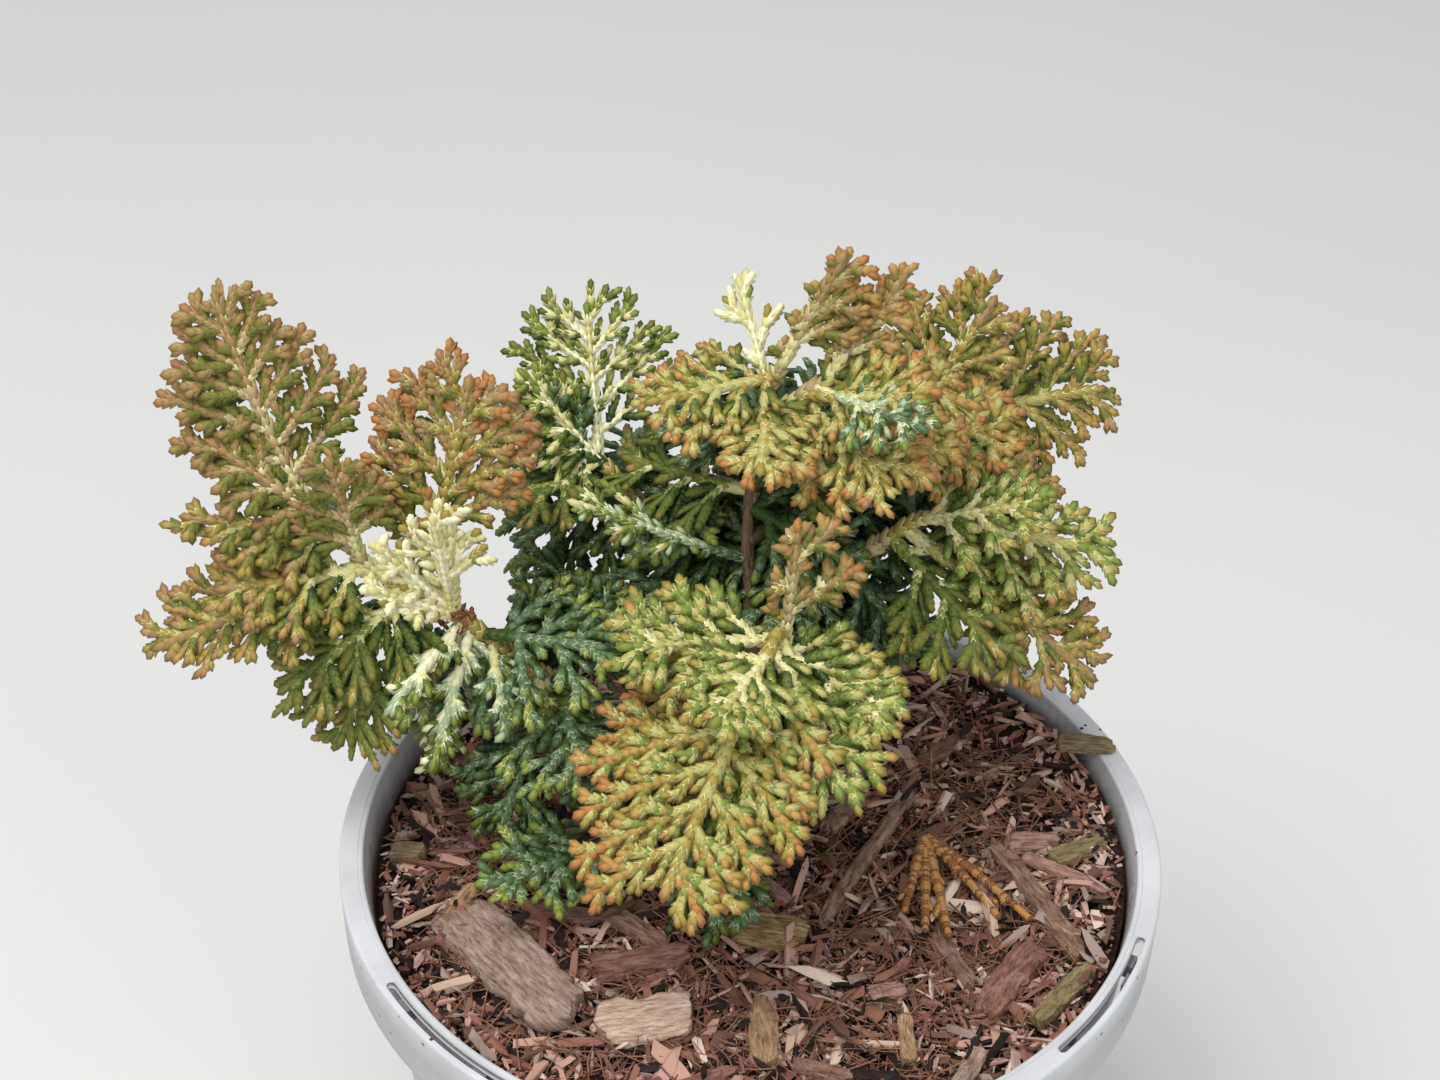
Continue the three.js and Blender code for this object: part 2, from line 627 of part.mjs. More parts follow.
function sprigSolid() {
  const height = -BED_DEPTH + SPRIG_HEIGHT;
  const head = vector([...SPRIG_HEAD, height + 1]);
  return SPRIG_ENDS.map((place) => {
    const end = vector([...place, height]);
    const middle = head.clone().lerp(end, 0.5).addScaledVector(DOWN, -SPRIG_ARCH);
    return twigSolid([head, middle, end], SPRIG_RADIUS, SPRIG_RADIUS, 3);
  }).reduce((sprig, finger) => sprig.add(finger));
}

// The bed's top is uneven, but level where the trunk and the sprig stand on it
const LEVEL_PLACES = [[...TRUNK_FOOT, 7], [31, -7, 15]];
const LEVEL_EDGE = 6;

function bedRelief(x, y) {
  const waves = Math.sin(0.31 * x + 1.3) * Math.cos(0.27 * y - 0.6) + 0.6 * Math.sin(0.53 * x - 0.41 * y);
  const level = LEVEL_PLACES.map(([px, py, r]) => {
    return THREE.MathUtils.smoothstep(Math.hypot(x - px, y - py), r, r + LEVEL_EDGE);
  });
  return BED_RELIEF * (0.5 + waves / 3.2) * Math.min(...level);
}

function bedSolid(rooms) {
  const top = -BED_DEPTH;
  const edge = (z) => outerAt(z) - WALL - FIT;
  const bottom = floorTop + FIT;
  const rings = [0.86, 0.66, 0.44, 0.22, 0].map((share) => [share * edge(top), top]);
  const geometry = turned([[0, bottom], [edge(bottom), bottom], [edge(top), top], ...rings], ROUND);
  const at = geometry.attributes.position;
  for (let i = 0; i < at.count; i++) {
    if (at.getZ(i) > top - 1) at.setZ(i, top - bedRelief(at.getX(i), at.getY(i)));
  }
  return rooms.reduce((bed, room) => bed.subtract(room), solidOf(geometry));
}

function addWood(group, limbsFat) {
  for (const [name, { solid }] of Object.entries(limbs)) {
    group.add(meshOf(name === "trunk" ? name : `bough_${name}`, geometryOf(solid), "wood"));
  }
  const grown = [];
  Object.entries(SPRAYS).forEach(([name, own], i) => {
    const solid = spraySolid({ ...SPRAY, ...own, seed: 11 + 7 * i }, limbsFat, grown);
    grown.push(solid);
    group.add(meshOf(`spray_${name}`, geometryOf(solid), own.colour));
  });
}

function addBark(group) {
  const rooms = [];
  Object.entries(CHIPS).forEach(([name, chip], i) => {
    const { mesh, room } = layChip(name, chip, -BED_DEPTH - CHIP_SINK, 40 + i);
    rooms.push(room);
    group.add(mesh);
  });
  group.add(layChip("chip_on_rim", RIM_CHIP, RIM_CHIP.size[2] / 2 + FIT, 60).mesh);
  group.add(meshOf("fallen_sprig", geometryOf(sprigSolid()), "deadSprig"));
  group.add(meshOf("bark_bed", geometryOf(largestBody(bedSolid(rooms))), "bark"));
}

// The whole plant in its pot
const plant = new THREE.Group();
addWood(plant, growLimbs());
addBark(plant);
plant.add(meshOf("pot", geometryOf(potSolid()), "pot"));
plant.position.z = POT_HEIGHT;

const pottedConifer = new THREE.Group();
pottedConifer.add(plant);

export default pottedConifer;
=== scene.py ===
# A potted dwarf conifer: the surfaces, scale leaves and finishes that go round the frame's solids.
# Shapes are worked out in millimetres from the middle of the pot's rim, with Z up, and put into the meshes in
# metres in the frame's own place.

import bpy
import numpy as np
from mathutils import Matrix, Vector


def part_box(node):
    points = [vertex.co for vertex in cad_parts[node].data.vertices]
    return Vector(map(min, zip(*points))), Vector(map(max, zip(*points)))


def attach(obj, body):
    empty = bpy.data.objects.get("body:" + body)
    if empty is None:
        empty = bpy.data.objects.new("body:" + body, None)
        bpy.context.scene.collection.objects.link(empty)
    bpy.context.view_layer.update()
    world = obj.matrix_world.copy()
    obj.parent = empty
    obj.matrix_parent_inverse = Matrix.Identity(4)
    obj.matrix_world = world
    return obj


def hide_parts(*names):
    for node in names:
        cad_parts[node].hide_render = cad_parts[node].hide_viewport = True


bl_info = {
    "name": "Potted dwarf conifer",
    "version": (1, 0, 0),
    "blender": (4, 5, 0),
    "location": "3D View > Sidebar > Conifer",
    "description": "Builds a dwarf conifer with flat sprays of scale leaves in a nursery pot",
    "category": "Add Mesh",
}

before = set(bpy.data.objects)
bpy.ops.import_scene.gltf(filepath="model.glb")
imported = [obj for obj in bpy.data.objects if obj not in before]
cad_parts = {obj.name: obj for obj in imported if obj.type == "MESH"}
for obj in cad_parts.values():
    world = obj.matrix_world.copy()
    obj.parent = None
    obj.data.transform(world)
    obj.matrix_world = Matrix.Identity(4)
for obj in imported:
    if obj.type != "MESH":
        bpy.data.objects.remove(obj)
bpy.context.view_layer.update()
RIM_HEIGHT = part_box("pot")[1].z * 1000
RIM_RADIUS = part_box("pot")[1].x * 1000
BED_TOP = -7.0
TAU = 2 * np.pi
DOWN = np.array([0.0, 0.0, -1.0])

# Small helpers


def arr(*values):
    """Numbers or points as one array."""
    return np.array(values, float)


def unit(vectors):
    """Each row divided by its own length."""
    return vectors / np.maximum(np.linalg.norm(vectors, axis=-1, keepdims=True), 1e-9)


def linear(red, green, blue):
    """A screen colour from 0 to 255 as linear light from 0 to 1."""
    c = arr(red, green, blue) / 255
    return tuple(np.where(c <= 0.04045, c / 12.92, ((c + 0.055) / 1.055) ** 2.4))


def darker(colour, share):
    """Each part of the colour times a share."""
    return tuple(c * share for c in colour)


def by_turns(i):
    """1 and -1 by turns, for what stands at one side and then at the other."""
    return 1 if i % 2 == 0 else -1


def round_angles(count):
    """Even angles round a full turn."""
    return np.linspace(0, TAU, count, endpoint=False)


def circle(radius, count):
    """Corners on a level circle round the Z axis."""
    turn = round_angles(count)
    return np.stack([radius * np.cos(turn), radius * np.sin(turn), 0 * turn], -1)


def hashed(cell, seed):
    """A number from 0 to 1 for each whole-number cell: products with large primes, folded by shifts."""
    n = (cell[..., 0] * 73856093) ^ (cell[..., 1] * 19349663) ^ (cell[..., 2] * 83492791) ^ (seed * 40503)
    n = ((n ^ (n >> 13)) * 1274126177) & 0xFFFFFFFF
    return ((n ^ (n >> 16)) & 0xFFFFFF) / 0xFFFFFF


def noise(points, size, seed=0):
    """Smooth noise from -1 to 1: random numbers on a lattice of the given size, blended by smooth steps."""
    at = np.asarray(points, float) / size
    cell = np.floor(at).astype(np.int64)
    f = at - cell
    f = f * f * (3 - 2 * f)
    total = np.zeros(at.shape[:-1])
    for corner in np.ndindex(2, 2, 2):
        weight = np.prod(np.where(corner, f, 1 - f), axis=-1)
        total += weight * hashed(cell + np.array(corner), seed)
    return 2 * total - 1


def seeded(seed):
    """Draws the next number from 0 to 1 of a fixed series each time that it is called."""
    state = seed

    def draw():
        nonlocal state
        state = (state * 1664525 + 1013904223) % 4294967296
        return state / 4294967296

    return draw


# Meshes


def linked(name, data):
    """A new object in the scene."""
    made = bpy.data.objects.new(name, data)
    bpy.context.scene.collection.objects.link(made)
    return made


def new_piece(name, vertices, face_sets, material, replaced=(), smooth=True, uv=None):
    """One mesh object from whole arrays. Its vertices are millimetres from the rim's middle, each face set
    has rows of three or four corners, and uv has a row for each vertex."""
    mesh = bpy.data.meshes.new(name)
    placed = (np.asarray(vertices, float) + (0, 0, RIM_HEIGHT)) / 1000
    face_sets = [np.asarray(f) for f in face_sets if len(f)]
    corners = np.concatenate([f.ravel() for f in face_sets]).astype(np.int32)
    sizes = np.concatenate([np.full(len(f), f.shape[1]) for f in face_sets])
    starts = np.concatenate([[0], np.cumsum(sizes)[:-1]]).astype(np.int32)
    mesh.vertices.add(len(placed))
    mesh.vertices.foreach_set("co", placed.astype(np.float32).ravel())
    mesh.loops.add(len(corners))
    mesh.loops.foreach_set("vertex_index", corners)
    mesh.polygons.add(len(sizes))
    mesh.polygons.foreach_set("loop_start", starts)
    mesh.polygons.foreach_set("use_smooth", np.full(len(sizes), smooth))
    if uv is not None:
        layer = mesh.uv_layers.new(name="UVMap")
        layer.data.foreach_set("uv", np.asarray(uv, np.float32)[corners].ravel())
    mesh.update(calc_edges=True)
    mesh.materials.append(material)
    piece = linked(name, mesh)
    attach(piece, "root")
    if replaced:
        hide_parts(*replaced)
    return piece


def grid_faces(rows, columns):
    """The four-cornered faces of a tube of rows by columns, its last column joined to its first."""
    i, j = np.meshgrid(np.arange(rows - 1), np.arange(columns), indexing="ij")
    k = (j + 1) % columns
    a, b = i * columns + j, i * columns + k
    return np.stack([a, b, b + columns, a + columns], -1).reshape(-1, 4)


def fan_faces(centre, first, columns, turned):
    """Triangles from one corner to each side of a ring of corners that starts at first."""
    j = np.arange(columns)
    k = (j + 1) % columns
    fan = np.stack([np.full(columns, centre), first + j, first + k], -1)
    return fan[:, ::-1] if turned else fan


def capped_tube(rings):
    """A closed skin over rings: quads between them, and a fan from the middle of each end ring."""
    rows, columns = rings.shape[:2]
    vertices = np.concatenate([rings.reshape(-1, 3), [rings[0].mean(0)], [rings[-1].mean(0)]])
    low = fan_faces(rows * columns, 0, columns, True)
    high = fan_faces(rows * columns + 1, (rows - 1) * columns, columns, False)
    return vertices, [grid_faces(rows, columns), np.concatenate([low, high])]


def copied_faces(faces, count, corners):
    """One shape's faces for many copies of it that follow each other, each with so many corners."""
    starts = (np.arange(count) * corners)[:, None, None]
    return (faces[None] + starts).reshape(-1, faces.shape[1])


def joined(parts):
    """Several (vertices, face sets) as one, each part's corners counted on from the last part's."""
    vertices, faces, count = [], {3: [], 4: []}, 0
    for points, sets in parts:
        vertices.append(points)
        for f in sets:
            faces[f.shape[1]].append(f + count)
        count += len(points)
    return np.concatenate(vertices), [np.concatenate(f) for f in faces.values() if f]


# Shader maths and nodes


class Value:
    """A number socket of a material, so that an expression on it adds Math nodes."""

    def __init__(self, nodes, socket):
        self.nodes = nodes
        self.socket = socket

    def maths(self, operation, *others, clamp=False):
        return self.nodes.add("ShaderNodeMath", {"operation": operation, "use_clamp": clamp}, [self, *others])

    def __add__(self, other):
        return self.maths("ADD", other)

    __radd__ = __add__

    def __sub__(self, other):
        return self.maths("SUBTRACT", other)

    def __rsub__(self, other):
        return (self * -1) + other

    def __mul__(self, other):
        return self.maths("MULTIPLY", other)

    __rmul__ = __mul__

    def ramp(self, low, high):
        """0 below low, 1 above high, and a straight line between them."""
        return ((self - low) * (1 / (high - low))).maths("ADD", 0.0, clamp=True)


class Finish:
    """A material under construction: its Principled shader, and one method that adds any other node."""

    def __init__(self, name, **constants):
        self.material = bpy.data.materials.new(name)
        self.material.use_nodes = True
        self.tree = self.material.node_tree
        self.shader = self.tree.nodes["Principled BSDF"]
        for socket, value in constants.items():
            self.put(self.shader.inputs[socket.replace("_", " ")], value)

    def put(self, socket, value):
        if isinstance(value, Value):
            self.tree.links.new(value.socket, socket)
        elif isinstance(value, bpy.types.NodeSocket):
            self.tree.links.new(value, socket)
        elif isinstance(value, (tuple, list)) and len(value) == 3 and socket.type == "RGBA":
            socket.default_value = (*value, 1)
        else:
            socket.default_value = value

    def add(self, kind, settings, inputs, output=0):
        """Adds a node: its settings first, then its inputs by number or by name, and gives one output."""
        node = self.tree.nodes.new(kind)
        for key, value in settings.items():
            setattr(node, key, value)
        pairs = inputs.items() if isinstance(inputs, dict) else enumerate(inputs)
        for key, value in pairs:
            self.put(node.inputs[key], value)
        found = node.outputs[output]
        return Value(self, found) if found.type == "VALUE" else found

    def place(self, scale=(1, 1, 1), source="Object"):
        """Object coordinates, or the piece's UV map, stretched by a scale for each axis."""
        at = self.add("ShaderNodeTexCoord", {}, {}, source)
        return self.add("ShaderNodeMapping", {}, {"Vector": at, "Scale": scale})

    def noise(self, at, scale, detail=3.0, roughness=0.55):
        return self.add("ShaderNodeTexNoise", {}, {
            "Vector": at, "Scale": scale, "Detail": detail, "Roughness": roughness}, 0)

    def cells(self, at, scale):
        return self.add("ShaderNodeTexVoronoi", {"feature": "F1"}, {"Vector": at, "Scale": scale}, 0)

    def blend(self, factor, first, second):
        """A colour between two, by a factor."""
        return self.add("ShaderNodeMix", {"data_type": "RGBA"}, {0: factor, 6: first, 7: second}, 2)

    def bump(self, height, depth, strength=1.0):
        normal = self.add("ShaderNodeBump", {}, {"Height": height, "Distance": depth, "Strength": strength})
        self.put(self.shader.inputs["Normal"], normal)

    def colour(self, value):
        self.put(self.shader.inputs["Base Color"], value)

    def rough(self, value):
        self.put(self.shader.inputs["Roughness"], value)


# Sizes that a user would change


def length_property(name, description, default):
    """A size that is given in millimetres and kept in metres."""
    return bpy.props.FloatProperty(
        name=name, description=description, default=default / 1000, min=0, unit="LENGTH", precision=4)


def colour_property(name, description, default):
    return bpy.props.FloatVectorProperty(
        name=name, description=description, default=default, size=3, min=0, max=1, subtype="COLOR")


class PotSettings(bpy.types.PropertyGroup):
    wall: length_property("Wall", "Thickness of the pot's wall", 1.3)
    flange: length_property("Flange", "Thickness of the rim's flange", 1.2)
    skirt: length_property("Skirt", "Height of the rim's hanging skirt", 11)
    colour: colour_property("Colour", "Colour of the pot's plastic", linear(202, 203, 207))


class BarkSettings(bpy.types.PropertyGroup):
    shreds: bpy.props.IntProperty(
        name="Shreds", description="How many shreds of bark lie on the bed", default=14500, min=0, max=20000)
    fibres: bpy.props.IntProperty(
        name="Fibres", description="How many thin fibres lie among the shreds", default=4200, min=0, max=8000)
    colour: colour_property("Colour", "Colour of the ground between the shreds", linear(62, 40, 32))


class FoliageSettings(bpy.types.PropertyGroup):
    finger_pitch: length_property("Finger pitch", "Distance between the fingers of a shoot", 1.95)
    finger_width: length_property("Finger width", "Half the width of a finger with its scales", 0.88)
    scale_length: length_property("Scale pitch", "Distance between two whorls of scale leaves", 1.08)


class WoodSettings(bpy.types.PropertyGroup):
    relief: length_property("Relief", "Depth of the bark's scales and furrows", 0.22)
    colour: colour_property("Colour", "Colour of the trunk and the boughs", linear(128, 108, 88))


class StageSettings(bpy.types.PropertyGroup):
    floor_colour: colour_property("Floor", "Colour of the floor", (0.72, 0.72, 0.71))
    light: bpy.props.FloatProperty(
        name="Light", description="Power of the soft light", default=12.0, min=0, unit="POWER")


# Pot

POT_FOOT = 47.5
LIP_RADIUS = 61.2
SKIRT_THICKNESS = 0.9
SLOT_RADII = (62.75, 64.05)
SLOT_SPAN = 24.7
SLOTS = ((-46.0, 1), (83.6, 1), (-122.1, -1))
TAB_OFFSETS = (2.1, 4.4, 16.5, 20.1)
TAB_SPAN = 2.4
TAB_DROP = (1.6, 4.0)
FOOT_ROUNDING = 1.5
RIM_ROUNDING = 0.55
LIP_ROUNDING = 0.45
# Height and how far it stands out, for the ridge round the wall
WALL_RIDGE = ((-14.5, 0), (-14, 0.25), (-13, 0.25), (-12.6, 0))
# Radius and height, for the thin groove and the ridge on the flange's inner edge
LIP_GROOVE = ((62.2, 0), (62.1, 0), (62.07, -0.12), (62.01, -0.12), (61.98, 0.05), (61.9, 0.06))
DRAIN_HOLES = 8
DRAIN_RADIUS = 3.6
DRAIN_CIRCLE = 36.0


def arc(centre, radius, start, end, count):
    """Points (r, z) on a round edge, from one angle to another in degrees."""
    turn = np.radians(np.linspace(start, end, count))
    return [(centre[0] + radius * np.cos(a), centre[1] + radius * np.sin(a)) for a in turn]


def slot_lows():
    """The lower end of each slot: its start, or a span back from it."""
    return [min(start, start + turn * SLOT_SPAN) for start, turn in SLOTS]


def pot_angles():
    """Even angles round the pot, with closer ones at the ends of each slot, which are rounded."""
    even = np.arange(0, 360, 0.9)
    ends = [low + side for low in slot_lows() for side in (0, SLOT_SPAN)]
    near = [end + step for end in ends for step in (-0.6, -0.3, -0.1, 0, 0.1, 0.3, 0.6)]
    near = np.mod(near, 360)
    apart = np.abs((even[:, None] - near[None] + 180) % 360 - 180).min(1) > 0.5
    return np.sort(np.concatenate([even[apart], near]))


def slot_opening(angles):
    """Half the slot's width at each angle: full in its middle, round at both ends, and nothing outside."""
    full = (SLOT_RADII[1] - SLOT_RADII[0]) / 2
    opening = np.zeros(len(angles))
    for low in slot_lows():
        inside = np.mod(angles - low + 1e-6, 360)
        from_end = np.radians(np.minimum(inside, SLOT_SPAN - inside)) * SLOT_RADII[0]
        rounded = full * np.sqrt(np.clip(1 - (1 - np.clip(from_end / full, 0.08, 1)) ** 2, 0, 1))
        opening = np.where(inside <= SLOT_SPAN + 2e-6, rounded, opening)
    return opening


def pot_surface(wall, flange, skirt):
    """A profile turned about the Z axis. Where a slot is, the flange's top and underside are left out
    between two radii, and upright walls join the two edges."""
    wall_top = LIP_RADIUS + wall
    floor_top = -RIM_HEIGHT + wall

    def outer(z):
        return POT_FOOT + (wall_top - POT_FOOT) * (z + RIM_HEIGHT) / RIM_HEIGHT

    middle = sum(SLOT_RADII) / 2
    profile = [(0.4, -RIM_HEIGHT), (20, -RIM_HEIGHT), (POT_FOOT - 1.6, -RIM_HEIGHT)]
    profile += arc((POT_FOOT - FOOT_ROUNDING, -RIM_HEIGHT + FOOT_ROUNDING), FOOT_ROUNDING, -80, 5, 6)
    for z in np.linspace(-RIM_HEIGHT + 6, -16, 12):
        profile.append((outer(z), z))
    profile += [(outer(z) + out, z) for z, out in WALL_RIDGE]
    profile += [(outer(-flange - 0.4), -flange - 0.4), (wall_top + 0.1, -flange)]
    under = len(profile)
    profile += [(middle, -flange), (middle, -flange)]
    profile += [(RIM_RADIUS - SKIRT_THICKNESS, -flange - 0.1), (RIM_RADIUS - SKIRT_THICKNESS, -skirt + 0.2)]
    profile += arc((RIM_RADIUS - SKIRT_THICKNESS / 2, -skirt + 0.35), 0.35, 200, 350, 5)
    profile += [(RIM_RADIUS - 0.05, -skirt + 2), (RIM_RADIUS, -5), (RIM_RADIUS, -0.9)]
    profile += arc((RIM_RADIUS - RIM_ROUNDING, -RIM_ROUNDING), RIM_ROUNDING, 10, 90, 6)
    profile += [(RIM_RADIUS - 0.7, 0)]
    over = len(profile)
    profile += [(middle, 0), (middle, 0)]
    profile += LIP_GROOVE
    profile += arc((LIP_RADIUS + LIP_ROUNDING, -LIP_ROUNDING), LIP_ROUNDING, 95, 180, 5)
    profile += [(outer(-2) - wall, -2)]
    for z in np.linspace(-4, floor_top + 1, 10):
        profile.append((outer(z) - wall, z))
    profile += [(outer(floor_top) - wall - 1, floor_top), (0.4, floor_top)]

    angles = pot_angles()
    opening = slot_opening(angles)
    profile = np.array(profile)
    radii = np.repeat(profile[:, 0:1], len(angles), 1)
    radii[under] -= opening
    radii[under + 1] += opening
    radii[over] += opening
    radii[over + 1] -= opening
    turn = np.radians(angles)
    rows, columns = radii.shape
    points = np.stack([radii * np.cos(turn), radii * np.sin(turn), np.repeat(profile[:, 1:], columns, 1)], -1)
    faces = grid_faces(rows, columns).reshape(rows - 1, columns, 4)
    cut = (opening > 0) & (np.roll(opening, -1) > 0)
    closed = [faces[i][~cut] if i in (under, over) else faces[i] for i in range(rows - 1)]

    j = np.nonzero(cut)[0]
    k = (j + 1) % columns
    inner = np.stack([under * columns + j, over * columns + columns + j, over * columns + columns + k,
                      under * columns + k], -1)
    outer_wall = np.stack([under * columns + columns + k, over * columns + k, over * columns + j,
                           under * columns + columns + j], -1)
    first = np.nonzero(cut & ~np.roll(cut, 1))[0]
    last = (np.nonzero(cut & ~np.roll(cut, -1))[0] + 1) % columns
    walls = [inner, outer_wall]
    for c, way in ((first, 1), (last, -1)):
        end = np.stack([under * columns + c, under * columns + columns + c, over * columns + c,
                        over * columns + columns + c], -1)
        walls.append(end[:, ::way])
    quads = np.concatenate(closed + walls)
    vertices = np.concatenate([points.reshape(-1, 3), [[0, 0, -RIM_HEIGHT], [0, 0, floor_top]]])
    low = fan_faces(rows * columns, 0, columns, True)
    high = fan_faces(rows * columns + 1, (rows - 1) * columns, columns, False)
    return vertices, [quads, np.concatenate([low, high])]


def ring_block(inner, outer, low, high, start, span):
    """A block of a ring, closed at both ends: its four corners carried along an arc."""
    turn = np.radians(np.linspace(start, start + span, 5))
    section = np.array([(inner, low), (outer, low), (outer, high), (inner, high)])
    rings = np.stack([
        np.cos(turn)[:, None] * section[:, 0], np.sin(turn)[:, None] * section[:, 0],
        np.repeat(section[None, :, 1], len(turn), 0)], -1)
    return capped_tube(rings)


def slot_blocks(wall):
    """The grip blocks under each slot, by turns on the skirt and on the wall."""
    parts = []
    for start, turn in SLOTS:
        for i, offset in enumerate(TAB_OFFSETS):
            on_skirt = i % 2 == 0
            inner = SLOT_RADII[0] + 0.45 if on_skirt else LIP_RADIUS + wall - 0.5
            outer = RIM_RADIUS - 0.5 if on_skirt else SLOT_RADII[1] - 0.45
            first = start + turn * (offset + TAB_SPAN / 2) - TAB_SPAN / 2
            parts.append(ring_block(inner, outer, -TAB_DROP[1], -TAB_DROP[0], first, TAB_SPAN))
    return joined(parts)


# In metres: the radii that end the pot's inside, and how deep under the rim its inside, its dirt with
# painted shade and its painted shade on the outer skirt start and reach their full strength
INNER_RADII = (0.0608, 0.0614)
INSIDE_DEPTHS = (0.011, 0.0095)
DIRT_AND_SHADE_DEPTHS = (0.009, 0.002)
SKIRT_SHADE_DEPTHS = (0.005, 0.0006)
SKIRT_SHADE = 0.5


def pot_finish(colour):
    """Moulded plastic: faint mottling, fine grain, painted shade on the outer skirt, sparse dark specks, and
    dirt with painted shade low down inside."""
    finish = Finish("pot_plastic", Specular_IOR_Level=0.45)
    at = finish.place()
    mottle = finish.noise(at, 90, 4)
    fine = finish.noise(at, 1400, 2)
    lighter = tuple(min(1, c * 1.1) for c in colour)
    plastic = finish.blend(mottle.ramp(0.35, 0.7), darker(colour, 0.93), lighter)
    specks = finish.cells(at, 420).ramp(0.13, 0.16)
    sparse = finish.noise(at, 130, 1).ramp(0.52, 0.56)
    plastic = finish.blend((1 - specks) * sparse, plastic, linear(52, 46, 44))
    height = finish.add("ShaderNodeSeparateXYZ", {}, [at], 2)
    radius = finish.add("ShaderNodeVectorMath", {"operation": "LENGTH"}, [
        finish.add("ShaderNodeMapping", {}, {"Vector": at, "Scale": (1, 1, 0)})], 1)

    def above(depths):
        return height.ramp(*(RIM_HEIGHT / 1000 - depth for depth in depths))

    inside = (1 - radius.ramp(*INNER_RADII)) * above(INSIDE_DEPTHS)
    # Dirt and painted shade: inside the pot the wall grows darker and browner towards the bark
    low = 1 - above(DIRT_AND_SHADE_DEPTHS)
    dirt_and_shade = (low * 0.85 + finish.noise(at, 220, 3) * 0.5 - 0.15).ramp(0.05, 0.75) * inside
    plastic = finish.blend(dirt_and_shade, plastic, linear(84, 68, 58))
    # Painted shade: outside the pot, below the flange's top, the plastic is blended towards a darker grey
    painted_skirt_shade = (1 - above(SKIRT_SHADE_DEPTHS)) * SKIRT_SHADE
    plastic = finish.blend(painted_skirt_shade * (1 - inside), plastic, linear(146, 146, 140))
    finish.colour(plastic)
    finish.rough(finish.noise(at, 60, 3).ramp(0.3, 0.75) * 0.2 + 0.42)
    finish.bump(fine * 0.6 + mottle, 0.00012, 0.5)
    return finish.material


def painted_shade_block_finish():
    """The same plastic, darker with painted shade, for the blocks down in the slot."""
    finish = Finish("slot_plastic_painted_shade", Specular_IOR_Level=0.3)
    at = finish.place()
    # Painted shade: greys well below the pot's own colour
    finish.colour(finish.blend(finish.noise(at, 300, 2), linear(112, 112, 114), linear(134, 134, 136)))
    finish.rough(finish.noise(at, 500, 2) * 0.2 + 0.5)
    return finish.material


def drained(piece):
    """Cuts the drain holes through the floor: a ring of upright cylinders is taken away from the pot."""
    hole = circle(DRAIN_RADIUS, 24)
    parts = []
    for middle in circle(DRAIN_CIRCLE, DRAIN_HOLES):
        parts.append(capped_tube(np.stack([hole + middle + (0, 0, z - RIM_HEIGHT) for z in (-3, 4)])))
    vertices, faces = joined(parts)
    mesh = bpy.data.meshes.new("drain_cutter")
    mesh.from_pydata((vertices + (0, 0, RIM_HEIGHT)) / 1000, [], [tuple(f) for s in faces for f in s])
    cutter = linked("drain_cutter", mesh)
    cut = piece.modifiers.new("holes", "BOOLEAN")
    cut.operation = "DIFFERENCE"
    cut.solver = "EXACT"
    cut.object = cutter
    shaped = bpy.data.meshes.new_from_object(piece.evaluated_get(bpy.context.evaluated_depsgraph_get()))
    piece.modifiers.clear()
    old = piece.data
    piece.data = shaped
    bpy.data.meshes.remove(old)
    bpy.data.objects.remove(cutter)
    return piece


# Limbs: where each leaves its parent, the two points that bend it, its end, and its radius at both ends

TRUNK_LINE = ((5, 8, -10), (1, 10, 20), (-6, 26, 50), (3, 20, 73.5))
TRUNK_RADII = (3.1, 0.6)
TRUNK_TAPER = 2.2
TRUNK_START = 0.03
TRUNK_SEED = 21
BOUGH_SEED = 40
# Rings along the limb, and corners in each
TRUNK_GRID = (170, 40)
BOUGH_GRID = (110, 20)
FLARE = 1.9
FLARE_FALL = 16
FLARE_LOBES = 5
FLARE_DEPTH = 0.3
# Plates of bark: how they are stretched round and along the limb, and where their tops are cut flat
PLATE_STRETCH = (3.0, 0.45)
PLATE_TOP = 0.35
RING_STRETCH = (0.7, 1.6)
RING_DEPTH = 0.35
RING_TOP = 0.2
FULL_RELIEF = 1.2
BOUGHS = {
    "left": (("trunk", 0.1), ((-12, 5, 9), (-34, 4, 27)), (-46.5, 6, 38), (1.6, 0.9)),
    "left_upper": (("left", 1), ((-53, 6, 41), (-62, 7.5, 47)), (-67, 9, 55.5), (0.9, 0.6)),
    "crown": (("trunk", 0.86), ((4, 20.5, 67), (9, 20, 71)), (13.5, 21.5, 72.5), (0.7, 0.5)),
    "right_back": (("trunk", 0.6), ((8, 26, 45), (18, 33, 49)), (27, 37.5, 54), (1.1, 0.7)),
    "right": (("trunk", 0.42), ((8, 18, 33), (18, 20, 41)), (26, 21.5, 46), (1.3, 0.8)),
    "back_left": (("trunk", 0.44), ((-9, 24, 34), (-18, 30, 41)), (-25, 33.5, 47.5), (1.2, 0.7)),
    "front": (("trunk", 0.24), ((4, 4, 20), (6, -3, 34)), (3, -7, 45), (1.4, 0.8)),
    "low": (("trunk", 0.13), ((-4, 3, 0), (-14, -4, 2)), (-22.5, -8, 3), (1.1, 0.7)),
    "rear": (("trunk", 0.34), ((2, 23, 27), (2, 32, 33)), (2, 38, 35), (1.2, 0.8)),
}


def cubic(points, t):
    """A cubic curve through its first and last point, bent by the two between."""
    t = np.asarray(t, float)[..., None]
    a, b, c, d = (np.asarray(p, float) for p in points)
    return a * (1 - t) ** 3 + 3 * b * t * (1 - t) ** 2 + 3 * c * t ** 2 * (1 - t) + d * t ** 3


def limb_curves():
    """The four points of each curve. A bough's first lies on its parent's curve."""
    curves = {"trunk": TRUNK_LINE}
    for name, ((parent, place), bends, end, _) in BOUGHS.items():
        curves[name] = (cubic(curves[parent], place), *bends, end)
    return curves


LIMBS = limb_curves()


